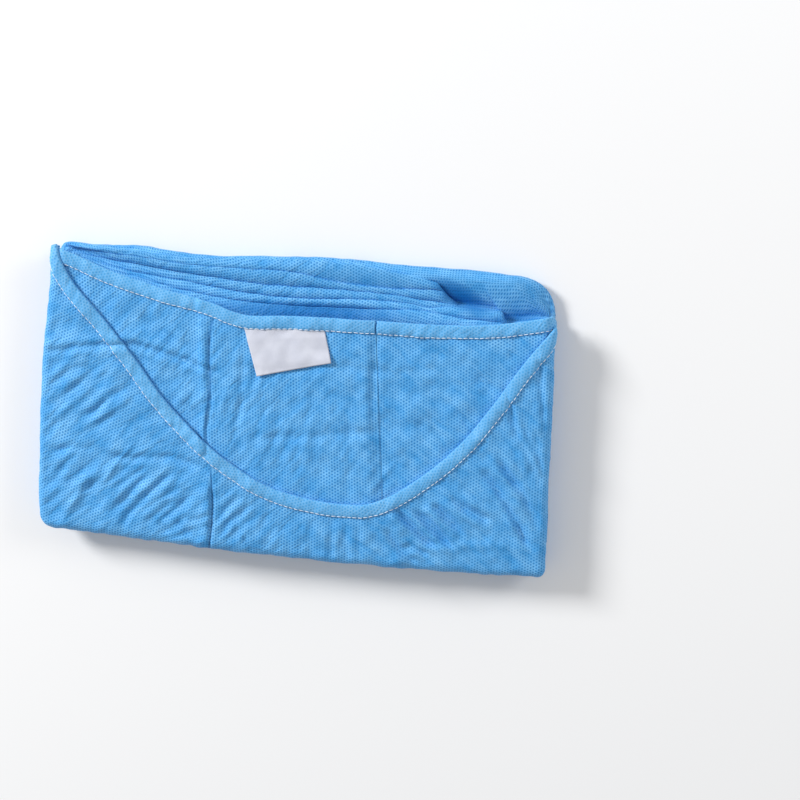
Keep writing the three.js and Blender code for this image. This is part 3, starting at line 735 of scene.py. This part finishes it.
def spline(points, count=40):
    """A smooth centripetal curve through points, with count steps from each to the next."""
    p = np.array(points, float)
    p = np.concatenate([2 * p[:1] - p[1:2], p, 2 * p[-1:] - p[-2:-1]])
    knots = np.concatenate([[0], np.cumsum(np.sqrt(np.linalg.norm(np.diff(p, axis=0), axis=1)))])
    made = []
    for k in range(1, len(p) - 2):
        t = np.linspace(knots[k], knots[k + 1], count, endpoint=False)[:, None]

        def between(first, last, start, end):
            return mix(start, end, (t - knots[first]) / (knots[last] - knots[first]))

        before, here, after = (between(i, i + 1, p[i], p[i + 1]) for i in (k - 1, k, k + 1))
        left = between(k - 1, k + 1, before, here)
        right = between(k, k + 2, here, after)
        made.append(between(k, k + 1, left, right))
    made.append(p[-2:-1])
    return np.concatenate(made)


def roll_at(shares):
    """The roll's reach, half its height and its middle's height, from a side at 0 to the bottom at 1."""
    depth = mix(SIDE_ROLL[0], BOTTOM_ROLL[0], shares)
    end = mix(SIDE_ROLL[1], BOTTOM_ROLL[1], shares)
    half = (FRONT_TOP - end) / (1 - math.cos(ROLL_TURN))
    return depth, half, FRONT_TOP - half


def pucker_at(x, y, turn):
    return 0.17 * ripple(x + 4 * turn, y + 3 * turn, 9, 31) + 0.2 * ripple(x + 2 * turn, y - turn, 34, 32)


def rolled_down(turn, roll, offset, wrinkles, pucker):
    """How far the front stands out, and how high it lies, at a turn over the pack's edge. roll is half the
    roll's height and its middle's height."""
    half, middle = roll
    push = pucker * np.sin(turn) * smooth(turn, 0, 0.7) + wrinkles * np.sin(turn) * 0.3
    z = middle + half * np.cos(turn) + offset * (1 + np.cos(turn)) / 2
    return push, z + wrinkles * np.maximum(np.cos(turn), 0) + 0.3 * pucker * smooth(turn, 1.2, 2.6)


def front_surface(x, y):
    """The front's outer face over cloth laid flat at x, y, which turns down over the pack's sides."""
    depth, half, middle = roll_at(0.0)
    held = np.clip(x, left_of(y) + depth, right_of(y) - depth)
    turn = np.minimum(np.abs(x - held), 30) / ((depth + half) / 2)
    side = np.where(x > 0, 1.0, -1.0)
    place = held + side * depth * np.sin(turn)
    pucker = pucker_at(held + side * depth, y, turn)
    offset = crown(held, y) - overlap_drop(held, y)
    push, z = rolled_down(turn, (half, middle), offset, relief(place, y), pucker)
    return np.stack(np.broadcast_arrays(place + side * push, y, z), -1)


def front_grid():
    """The front panel's outer face, and its cloth laid flat, in sections from the neckline over the pack's
    edge."""
    steps = (FRONT_SIDE, FRONT_BOTTOM, FRONT_CORNER)
    outline = rim(0, FRONT_TOP_LEFT, FRONT_TOP_RIGHT, *steps)
    inward = rim(INSET_REFERENCE, FRONT_TOP_LEFT, FRONT_TOP_RIGHT, *steps)
    shares = bottom_shares(*steps)
    depth, half, middle = roll_at(shares)
    starts = mix(outline, inward, (depth / INSET_REFERENCE)[:, None])
    out = (outline - inward) / INSET_REFERENCE
    ends = starts + out * (ROLL_TURN * (depth + half) / 2)[:, None]
    angles = angle_from_neck(starts)
    fine = spline(FRONT_NECK)
    fine_angles = angle_from_neck(fine)
    wanted = mix(fine_angles[0], fine_angles[-1], (angles - angles[0]) / (angles[-1] - angles[0]))
    neck = np.stack([np.interp(wanted, fine_angles, fine[:, k]) for k in (0, 1)], -1)
    past = np.sum((neck - starts) * out, axis=1)
    anchor = np.where((past > 0)[:, None], mix(neck, ends, 0.15), starts)
    share = ((np.arange(FRONT_FLAT) / FRONT_FLAT) ** 1.15)[None, :, None]
    flat = mix(neck[:, None, :], anchor[:, None, :], share)
    over = np.linspace(0, 1, FRONT_ROLL + 1)[None, :, None]
    rolled = mix(anchor[:, None, :], ends[:, None, :], over)
    cloth = np.concatenate([flat, rolled], 1)
    sides = front_surface(cloth[..., 0], cloth[..., 1])
    turn = np.linspace(0, ROLL_TURN, FRONT_ROLL + 1)[None, :]
    inset = depth[:, None] * (1 - np.sin(turn))
    place = mix(outline[:, None, :], inward[:, None, :], (inset / INSET_REFERENCE)[..., None])
    offset = crown(starts[:, :1], starts[:, 1:]) - overlap_drop(starts[:, :1], starts[:, 1:])
    pucker = pucker_at(outline[:, :1], outline[:, 1:], turn)
    wrinkles = relief(place[..., 0], place[..., 1])
    push, z = rolled_down(turn, (half[:, None], middle[:, None]), offset, wrinkles, pucker)
    place = place + out[:, None, :] * push[..., None]
    low = np.concatenate([sides[:, :FRONT_FLAT], np.concatenate([place, z[..., None]], -1)], 1)
    grid = np.where((shares > 0)[:, None, None], low, sides)
    return grid, cloth


def front_uvs(cloth):
    """The front's grain: turned one way left of its upright crease, and another way right of it."""
    x, y = cloth[..., 0], cloth[..., 1]
    share = smooth(x, -48.5, -47.5)[..., None]
    return mix(turned(x, y, 5.8), turned(x, y, -1.2), share)


front, front_flat = front_grid()
front_cloth = cloth_shell("front_cloth", front, front_uvs(front_flat), FRONT_CLOTH)


# The back panels.
EDGE_LOWERING = (8, 1.3)
BACK_TURN_DOWN = (6, 0.24)


def back_turn_down(x, y):
    start, bend = BACK_TURN_DOWN
    past = np.maximum(x - right_of(y) + start, 0) + np.maximum(left_of(y) + start - x, 0)
    return bend * past**2


def left_base(x, y):
    edge = edge_at(RIGHT_PANEL_EDGE, y)
    return BACK_BASE + PANEL_STEP * smooth(x, edge - OVERLAP_RAMP[0], edge - OVERLAP_RAMP[1]) + crown(x, y)


def left_surface(x, y):
    """The left back panel's upper face. Its free edge sinks towards the right panel."""
    edge = edge_at(LEFT_PANEL_EDGE, y)
    sunk = EDGE_LOWERING[1] * smooth(x, edge - EDGE_LOWERING[0], edge)
    z = left_base(x, y) + PANEL_WALL + relief(x, y) - sunk - back_turn_down(x, y)
    return np.stack(np.broadcast_arrays(x, y, z), -1)


def right_surface(x, y):
    """The right back panel's upper face."""
    z = BACK_BASE + crown(x, y) + PANEL_WALL + relief(x, y) - back_turn_down(x, y)
    return np.stack(np.broadcast_arrays(x, y, z), -1)


def back_grid(x_of, columns, rows, surface):
    """A back panel's upper face. x_of(share, y) is the place across at a height on the pack."""
    share = np.linspace(0, 1, columns)[:, None]
    neck = back_neck_of(x_of(share, 62.0))
    foot = bottom_of(x_of(share, -80.0)) + 9
    y = mix(neck, foot, np.linspace(0, 1, rows)[None, :])
    return surface(x_of(share, y), y)


def back_left_x(share, y):
    inset = mix(BACK_SIDE_INSET, 3.0, smooth(y, 60, 76))
    return mix(left_of(y) + inset, edge_at(LEFT_PANEL_EDGE, y), share)


def back_right_x(share, y):
    inset = mix(BACK_SIDE_INSET, 1.5, smooth(y, 36, 50))
    return mix(edge_at(RIGHT_PANEL_EDGE, y), right_of(y) - inset, share)


back_left = back_grid(back_left_x, 190, 120, left_surface)
back_right = back_grid(back_right_x, 180, 110, right_surface)
left_uvs = turned(back_left[..., 0], back_left[..., 1], -4.8)
right_uvs = turned(back_right[..., 0], back_right[..., 1], -3.2)
left_cloth = cloth_shell("back_cloth_left", back_left, left_uvs, BACK_CLOTH)
right_cloth = cloth_shell("back_cloth_right", back_right, right_uvs, CLOTH)


# The bindings.
BINDING_LIFT = 1.15
STITCH_LINE = 6.5
BINDING_ACROSS = 16
BINDING_STEP = 1.1
BINDING_PADDING = 0.45
QUICK_PUCKER = 0.16
SLOW_PUCKER = 0.15
STITCH_PINCH = 0.32


def evened(line, step):
    reached = arc_lengths(line)
    places = np.linspace(0, reached[-1], max(int(reached[-1] / step), 2))
    return np.stack([np.interp(places, reached, line[:, k]) for k in range(line.shape[1])], -1)


def strip_over(line, surface, across):
    """Places on a surface at distances into the panel from the line of its edge, and the way out there."""
    edge = evened(line, BINDING_STEP)
    ahead = np.gradient(edge, axis=0)
    ahead /= np.linalg.norm(ahead, axis=1, keepdims=True)
    into = np.stack([ahead[:, 1], -ahead[:, 0]], -1)
    place = edge[:, None, :] + into[:, None, :] * across[None, :, None]
    x, y = place[..., 0], place[..., 1]
    small = 0.4
    to_x = surface(x + small, y) - surface(x - small, y)
    to_y = surface(x, y + small) - surface(x, y - small)
    facing = np.cross(to_x, to_y)
    facing /= np.linalg.norm(facing, axis=2, keepdims=True)
    return surface(x, y), facing


def at_index(values, places):
    low = np.clip(places.astype(int), 0, len(values) - 2)
    share = places - low
    shape = (-1,) + (1,) * (values.ndim - 1)
    return values[low] * (1 - share).reshape(shape) + values[low + 1] * share.reshape(shape)


def binding(name, line, surface, drop, seed):
    """A folded strip over a panel's edge: down its free edge, round, and flat to the seam."""
    flat = np.linspace(0, BINDING_WIDTH, BINDING_ACROSS)
    found, facing = strip_over(line, surface, flat)
    way = arc_lengths(found[:, 0])[:, None]
    quick = ripple(way, way * 0, 5.5, seed)
    slow = ripple(way, way * 0, 24, seed + 1)
    across = flat[None, :]
    padding = BINDING_PADDING * np.sin(np.clip(across / STITCH_LINE, 0, 1) * math.pi) ** 0.8
    pucker = QUICK_PUCKER * quick * smooth(across, 1.5, 5.5)
    pucker = pucker + SLOW_PUCKER * slow * np.sin(across / BINDING_WIDTH * math.pi)
    pinch = STITCH_PINCH * np.exp(-(((across - STITCH_LINE) / 0.55) ** 2))
    lift = BINDING_LIFT + padding + pucker - pinch
    lift = lift - 0.5 * smooth(across, BINDING_WIDTH - 0.35, BINDING_WIDTH)
    top = found + facing * lift[..., None]
    away = found[:, 0] - found[:, 3]
    away -= facing[:, 0] * np.sum(away * facing[:, 0], axis=1, keepdims=True)
    away /= np.linalg.norm(away, axis=1, keepdims=True)
    round_turn = np.linspace(-0.5 * math.pi, 0.38 * math.pi, 8)[None, :]
    radius = (lift[:, :1] + drop) / 2
    centre = found[:, 0] + facing[:, 0] * (lift[:, :1] - radius)

    def nose(size, stretch, start):
        return (
            centre[:, None, :]
            + away[:, None, :] * (np.cos(round_turn) * size * stretch + start)[..., None]
            + facing[:, :1] * (np.sin(round_turn) * size)[..., None]
        )

    upper = np.concatenate([nose(radius, 0.95, 0.15), top], 1)
    lower = np.concatenate([nose(np.maximum(radius - 0.4, 0.2), 0.9, 0.12), found + facing * 0.22], 1)
    cross = np.concatenate([-np.linspace(3.4, 0.4, 8), flat])
    uvs = np.stack(np.broadcast_arrays(way, cross[None, :]), -1)
    seam_at = np.array([STITCH_LINE / BINDING_WIDTH * (BINDING_ACROSS - 1)])
    seam = at_index(top.transpose(1, 0, 2), seam_at)[0]
    return shell(name, upper, lower, uvs, BINDING), seam, facing[:, -2]


def stitches(name, seam, facing, seed, start=0.6, length=2.5, gap=0.75, radius=0.2):
    """Lock stitches along a seam: each a short thread that rises between two needle holes."""
    rng = np.random.default_rng(seed)
    reached = arc_lengths(seam)
    points, faces = [], []
    rings, sides = 7, 6
    while start + length < reached[-1]:
        span = length * rng.uniform(0.92, 1.08)
        t = np.linspace(0, 1, rings)
        places = np.interp(start + span * t, reached, np.arange(len(seam)))
        line = at_index(seam, places)
        normal = at_index(facing, places)
        ahead = np.gradient(line, axis=0)
        ahead /= np.linalg.norm(ahead, axis=1, keepdims=True)
        side = np.cross(normal, ahead)
        side /= np.linalg.norm(side, axis=1, keepdims=True)
        rise = 0.26 * np.sin(t * math.pi) ** 0.6 - 0.1
        lean = rng.uniform(-0.12, 0.12) * (t - 0.5) * 2
        line = line + normal * rise[:, None] + side * lean[:, None]
        thick = radius * (0.55 + 0.45 * np.sin(t * math.pi) ** 0.5)
        turn = np.arange(sides) / sides * 2 * math.pi
        ring = (
            line[:, None, :]
            + side[:, None, :] * (np.cos(turn)[None, :] * thick[:, None])[..., None]
            + normal[:, None, :] * (np.sin(turn)[None, :] * thick[:, None])[..., None]
        )
        offset = len(points)
        points.extend(ring.reshape(-1, 3))
        faces.extend(grid_faces(rings, sides, offset, flip=True, closed=True))
        faces.append([offset + k for k in range(sides)])
        faces.append([offset + (rings - 1) * sides + k for k in range(sides - 1, -1, -1)])
        start += span + gap * rng.uniform(0.8, 1.2)
    return to_mesh(name, points, faces, None, THREAD)


def neck_between(start, end):
    x = np.linspace(start, end, 300)
    return np.stack([x, back_neck_of(x)], -1)


overlap_end = edge_at(LEFT_PANEL_EDGE, 58.6)
left_neck = neck_between(-147.6, overlap_end - 0.1)
right_neck = neck_between(overlap_end + 0.8, 148.2)
front_neck = spline(FRONT_NECK)
front_binding, front_seam, front_facing = binding("front_neck_band", front_neck, front_surface, 1.5, 41)
left_binding, left_seam, left_facing = binding("back_neck_band_left", left_neck, left_surface, 1.2, 51)
right_binding, right_seam, right_facing = binding(
    "back_neck_band_right", right_neck, right_surface, 1.2, 61,
)
front_stitches = stitches("front_neck_stitches", front_seam, front_facing, seed=5)
left_stitches = stitches("back_neck_stitches_left", left_seam, left_facing, seed=6, start=4.0)
right_stitches = stitches("back_neck_stitches_right", right_seam, right_facing, seed=7)


# The label's upper and lower edges, each from left to right. Its upper edge lies under the back binding.
LABEL_TOP = np.array([(-33, 49.6), (14.6, 53.3)])
LABEL_BOTTOM = np.array([(-23.5, 20.5), (20.5, 32.3)])
LABEL_LIFT = 0.35
LABEL_THICKNESS = 0.3


def make_label():
    """A tape held under the binding at its upper edge, which lies freer and curls up below."""
    across = np.linspace(0, 1, 60)[:, None, None]
    down = np.linspace(0, 1, 34)[None, :, None]
    place = mix(mix(*LABEL_TOP, across), mix(*LABEL_BOTTOM, across), down)
    x, y = place[..., 0], place[..., 1]
    towards_corners = smooth(np.abs(across[..., 0] - 0.5), 0.2, 0.5)
    curl = 0.7 * smooth(down[..., 0], 0.55, 1.0) * (0.5 + towards_corners)
    own = 0.12 * ripple(x, y, 14, 71)
    free = smooth(down[..., 0], 0.12, 0.3)
    lift = mix(LABEL_LIFT, LABEL_LIFT + LABEL_THICKNESS + own + 0.2, free)
    z = left_base(x, y) + PANEL_WALL + relief(x, y) * mix(1.0, 0.45, free) + lift + curl
    grid = np.concatenate([place, z[..., None]], -1)
    return cloth_shell("neck_label_tape", grid, turned(x, y, -15), LABEL_TAPE, LABEL_THICKNESS)


label = make_label()


# The folded layers under everything: one body of thin folds, with pleats stepped behind the neck.
RINGS_IN_A_LAYER = 11
RINGS_ON_A_PLEAT = 5
STACK_SIDE, STACK_BOTTOM, STACK_CORNER, STACK_FAR = 60, 100, 8, 210
NECK_SETBACK = 2

# The back edges of the upper folds behind the neck, as x, y, from the lowest fold up.
PLEATS = [
    [(-152, 87.6), (-113, 88.4), (-76, 87), (-40, 88), (0, 90.6), (20, 90.6), (38.5, 89.8), (56.4, 87.4),
     (65, 85.9), (77.8, 83.7), (100, 80), (150, 78)],
    [(-152, 86.8), (-111, 85.3), (-74.7, 82.8), (-38.6, 82.7), (-2.6, 82.6), (23.3, 78.6), (54.8, 77.7),
     (78.4, 79), (100, 77), (150, 76)],
    [(-152, 85.6), (-110.7, 80.7), (-74.3, 77.6), (-38, 75.1), (-2, 74.4), (19.4, 74.6), (53.3, 74.2),
     (72.4, 72.2), (86.1, 71.6), (110, 71), (150, 71)],
    [(-152, 85.0), (-110.2, 76.9), (-73.7, 72.5), (-37.4, 68.6), (-1.4, 67.6), (28.3, 69.4), (48.4, 70.2),
     (62, 70.2), (75, 68.4), (88.5, 70.0), (102.2, 69.5), (117, 68.9), (150, 69)],
    [(-152, 84.6), (-109.7, 74.6), (-73.2, 68.2), (-36.9, 63.9), (-0.9, 63.0), (28.8, 64.3), (58.3, 66.1),
     (75.2, 66.9), (100.4, 64), (116.4, 63.0), (150, 63)],
]

# The slanting end of the upper pleats, and where all the folds end at the right.
DIAGONAL = [(66, 100), (77.8, 84.9), (85.8, 74.9), (91.3, 70.5), (96, 66)]
FOLD_ENDS = (117.5, 122)

# How far the big fold behind the neck, each fold of three layers, a layer's side and a pleat draw back at
# their upper and lower edges.
FAR_NOSE = 6.0
FOLD_NOSE = 2.6
SIDE_NOSE = 1.5
PLEAT_NOSE = 1.15

# How the edges wander. Columns: height, wavelength.
SIDE_WAVES = ((0.32, 60), (0.16, 13))
FAR_WAVES = ((0.22, 46), (0.1, 12))

# The dip of the folds behind the neck: x, y, reach along and across, depth.
SAG = (18, 57.5, 40, 6.5, 6.0)

# The valley in the big fold beside the slanting pleat: a place on it, its slope, reach across, depth.
VALLEY = (100, 73.5, 0.12, 5.0, 3.4)


def back_edge_of(layer, x):
    """Where a layer ends behind the neck."""
    if layer < LAYERS_IN_A_FOLD:
        return far_of(x) - (0.4, 0.0, 0.3)[layer]
    at_neck = back_neck_of(x) - NECK_SETBACK
    if layer == LAYER_COUNT - 1:
        return at_neck
    rank = layer - LAYERS_IN_A_FOLD
    edge = along(PLEATS[rank], x)
    if rank < 3:
        slant = np.interp(x, [row[0] for row in DIAGONAL], [row[1] for row in DIAGONAL])
        edge = np.minimum(edge, np.maximum(slant, along(PLEATS[3], x) + 0.3 * (3 - rank)))
    edge = np.minimum(edge, far_of(x) - 0.4 * (rank + 1))
    edge = mix(edge, at_neck, smooth(x, FOLD_ENDS[0], FOLD_ENDS[1] + rank * 0.4))
    return np.maximum(edge, at_neck + 0.5 * (LAYER_COUNT - 1 - layer))


def fold_nose(z):
    """How far each fold of three layers draws back at the sides at a height."""
    fold = min(int(z / LOW_FOLD_TOP), LAYER_COUNT // LAYERS_IN_A_FOLD - 1)
    offset = (z - (fold + 0.5) * LOW_FOLD_TOP) / (LOW_FOLD_TOP / 2)
    return FOLD_NOSE * (1 - math.sqrt(max(0, 1 - offset * offset)))


def far_nose(z):
    """How far the one big fold behind the neck draws back at a height."""
    offset = abs(z - LOW_FOLD_TOP / 2) / (LOW_FOLD_TOP / 2)
    return FAR_NOSE * (1 - math.sqrt(max(0, 1 - offset**2.4)))


def cover_inset(z, shares):
    """How far the layers draw in to lie inside the front panel's roll."""
    depth, half, middle = roll_at(shares)
    end = mix(SIDE_ROLL[1], BOTTOM_ROLL[1], shares)
    turn = np.clip((z - middle + PANEL_STEP / 2) / (half - FRONT_WALL), -1, 1)
    under = depth - (depth - FRONT_WALL) * np.sqrt(1 - turn * turn)
    inner_end = middle + (half - FRONT_WALL) * math.cos(ROLL_TURN)
    return np.where(z > inner_end, under + 0.6, (depth + 0.6) * smooth(z, end - 4, end - 1.2))


def lifted(x, y, z):
    """The height of a place at a level of the stack, which the big fold behind the neck raises."""
    behind = (y - back_neck_of(x)) / np.maximum(far_of(x) - back_neck_of(x), 5)
    share, start, end = FAR_ROLL_DROP
    right_end = 1 - share * smooth(x, start, end)
    low_top = mix(LOW_FOLD_TOP, FAR_ROLL_TOP * right_end, smooth(behind, 0.3, 0.8))
    low_part = z * low_top / LOW_FOLD_TOP
    high_part = low_top + (z - LOW_FOLD_TOP) * (STACK_TOP - low_top) / (STACK_TOP - LOW_FOLD_TOP)
    raised = np.where(z < LOW_FOLD_TOP, low_part, high_part)
    share_up = raised / STACK_TOP
    at_x, at_y, wide, deep, sink = SAG
    sag = sink * np.exp(-(((x - at_x) / wide) ** 2)) * np.exp(-(((y - at_y) / deep) ** 2))
    floor_x, floor_y, slope, narrow, sunk = VALLEY
    off = y - floor_y - slope * (x - floor_x)
    along_it = smooth(x, 76, 88) * (1 - smooth(x, 118, 138))
    low_share = min(z / LOW_FOLD_TOP, 1) * max(0, 1 - max(z - LOW_FOLD_TOP, 0) / 4)
    valley = sunk * np.exp(-((off / narrow) ** 2)) * along_it * low_share
    return raised + (crown(x, y) - sag) * share_up - valley


def stack_ring(layer, rise, seed):
    """One ring of a layer. rise runs from 0 under the layer to 1 over it."""
    low = layer < LAYERS_IN_A_FOLD
    z = (layer + rise) * LAYER_HEIGHT
    far_round = CORNER_ROUNDS["far_right"] if low else 5
    far_left_round = CORNER_ROUNDS["far_left"]
    left_top = float(back_edge_of(layer, FAR_SIDE[0][0])) - far_left_round
    right_top = float(back_edge_of(layer, FAR_SIDE[-1][0])) - far_round
    steps = (STACK_SIDE, STACK_BOTTOM, STACK_CORNER)
    outline = rim(0, left_top, right_top, *steps)
    inward = rim(INSET_REFERENCE, left_top, right_top, *steps)
    drawn_back = abs(2 * rise - 1) ** 2.2
    inset = np.maximum(fold_nose(z) * 0.8 + SIDE_NOSE * drawn_back, cover_inset(z, bottom_shares(*steps)))
    way = arc_lengths(outline)
    inset = inset + 0.35 + waves(way, way * 0, SIDE_WAVES, seed)
    points = mix(outline, inward, (np.maximum(inset, 0) / INSET_REFERENCE)[:, None])
    right, left = points[-1], points[0]
    x = np.linspace(right[0] - far_round, left[0] + far_left_round, STACK_FAR + 1)
    drawn = far_nose(z) if low else PLEAT_NOSE * drawn_back
    far = np.stack([x, back_edge_of(layer, x) - drawn - 0.2 - waves(x, x * 0, FAR_WAVES, seed + 2)], -1)
    right_corner = np.array([right[0], far[0, 1]])
    if low:
        right_corner = mix(right_corner, (right + far[0]) / 2, 0.2)
    ring = np.concatenate([
        points,
        corner_curve(right, right_corner, far[0], STACK_CORNER),
        far,
        corner_curve(far[-1], np.array([left[0], far[-1, 1]]), left, STACK_CORNER),
    ])
    return np.concatenate([ring, lifted(ring[:, 0], ring[:, 1], z)[:, None]], 1)


def pleat_rings(under, over):
    """Rings across a pleat's upper face, bulging, and sunk at the foot of the next fold."""
    wide = np.linalg.norm(under[:, :2] - over[:, :2], axis=1)
    full = smooth(wide, 1.5, 6.5)
    made = []
    for k in range(1, RINGS_ON_A_PLEAT + 1):
        t = k / (RINGS_ON_A_PLEAT + 1)
        ring = mix(under, over, t)
        ring[:, 2] += full * (0.85 * math.sin(math.pi * t**0.8) - 0.75 * t**5)
        made.append(ring)
    over[:, 2] -= 0.75 * full
    return made


def make_stack():
    layers = []
    for layer in range(LAYER_COUNT):
        rises = np.linspace(0.02, 0.98, RINGS_IN_A_LAYER)
        layers.append([stack_ring(layer, rise, 100 + 10 * layer) for rise in rises])
    layers[0][0][:, 2] = 0
    rings = []
    for layer in layers:
        if rings:
            rings.extend(pleat_rings(rings[-1], layer[0]))
        rings.extend(layer)
    top, bottom = rings[-1], rings[0]
    for i in range(1, 12):
        ring = top.copy()
        ring[:, :2] *= 1 - i / 12
        ring[:, 2] = lifted(ring[:, 0], ring[:, 1], STACK_TOP)
        rings.append(ring)
    base = [np.concatenate([bottom[:, :2] * i / 6, bottom[:, 2:]], 1) for i in range(1, 6)]
    grid = np.stack(base + rings)
    first = STACK_SIDE + STACK_CORNER + STACK_BOTTOM // 2
    grid = np.roll(grid, -first, axis=1)
    count = grid.shape[1]
    faces = list(grid_faces(len(grid), count, 0, flip=True, closed=True))
    faces.append(list(range(count))[::-1])
    faces.append([(len(grid) - 1) * count + j for j in range(count)])
    steps = np.linalg.norm(np.diff(grid[..., :2], axis=1), axis=2)
    way = np.concatenate([np.zeros((len(grid), 1)), np.cumsum(steps, axis=1)], 1)
    way -= way[:, count // 2:count // 2 + 1]
    rises = np.linalg.norm(np.diff(grid, axis=0), axis=2)
    climb = np.concatenate([np.zeros((1, count)), np.cumsum(rises, axis=0)])
    return to_mesh("folded_body", grid, faces, np.stack([way, climb], -1), FOLD_CLOTH)


folded_body = make_stack()


# The floor, the light and the camera.
def make_floor():
    mesh = bpy.data.meshes.new("floor")
    reach = 6.0
    corners = [(-reach, -reach, 0), (reach, -reach, 0), (reach, reach, 0), (-reach, reach, 0)]
    mesh.from_pydata(corners, [], [(0, 1, 2, 3)])
    material = node_tree("pale_floor")[0]
    mesh.materials.append(finished(material, {
        "Base Color": (0.9, 0.9, 0.9), "Roughness": 0.8, "Specular IOR Level": 0.1,
    }))
    return add_object("floor", mesh)


def area_light(name, place, size, power):
    data = bpy.data.lights.new(name, "AREA")
    data.shape = "DISK"
    data.size = size
    data.energy = power
    lamp = add_object(name, data)
    lamp.location = place
    lamp.rotation_euler = (-Vector(place)).to_track_quat("-Z", "Y").to_euler()


def make_light():
    world = bpy.data.worlds.new("studio")
    bpy.context.scene.world = world
    world.use_nodes = True
    background = world.node_tree.nodes["Background"]
    background.inputs["Color"].default_value = (0.97, 0.98, 1.0, 1)
    background.inputs["Strength"].default_value = 0.47
    area_light("key", (-2.1, 1.24, 1.3), 0.8, 80)
    area_light("fill", (1.3, 0.9, 0.9), 0.8, 8)


def make_camera():
    """The camera that sees the pack as the photograph does: axes and place in the frame."""
    data = bpy.data.cameras.new("camera")
    data.lens = 90
    data.sensor_width = 36
    data.clip_start = 0.05
    data.clip_end = 50
    camera = add_object("camera", data)
    right = Vector((0.99287, 0.06542, -0.09961))
    up = Vector((-0.08500, 0.97462, -0.20710))
    back = Vector((0.08353, 0.21409, 0.97324))
    matrix = Matrix((right, up, back)).transposed().to_4x4()
    matrix.translation = Vector((0.16102, 0.26624, 1.17259))
    camera.matrix_world = matrix
    bpy.context.scene.camera = camera


make_camera()
make_light()
floor = make_floor()
bpy.context.scene.view_settings.view_transform = "Standard"

# Pieces, the nodes they stand for, and their slots.
PIECES = [
    (folded_body, "folded_layers", "gown_cloth"),
    (front_cloth, "front_panel", "gown_cloth"),
    (left_cloth, "back_panel_left", "gown_cloth"),
    (right_cloth, "back_panel_right", "gown_cloth"),
    (front_binding, "front_neck_binding", "binding_cloth"),
    (left_binding, "back_binding_left", "binding_cloth"),
    (right_binding, "back_binding_right", "binding_cloth"),
    (label, "neck_label", "label_cloth"),
]
for piece, node, slot in PIECES:
    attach(piece, "root")
    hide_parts(node)
for piece in (front_stitches, left_stitches, right_stitches):
    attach(piece, "root")
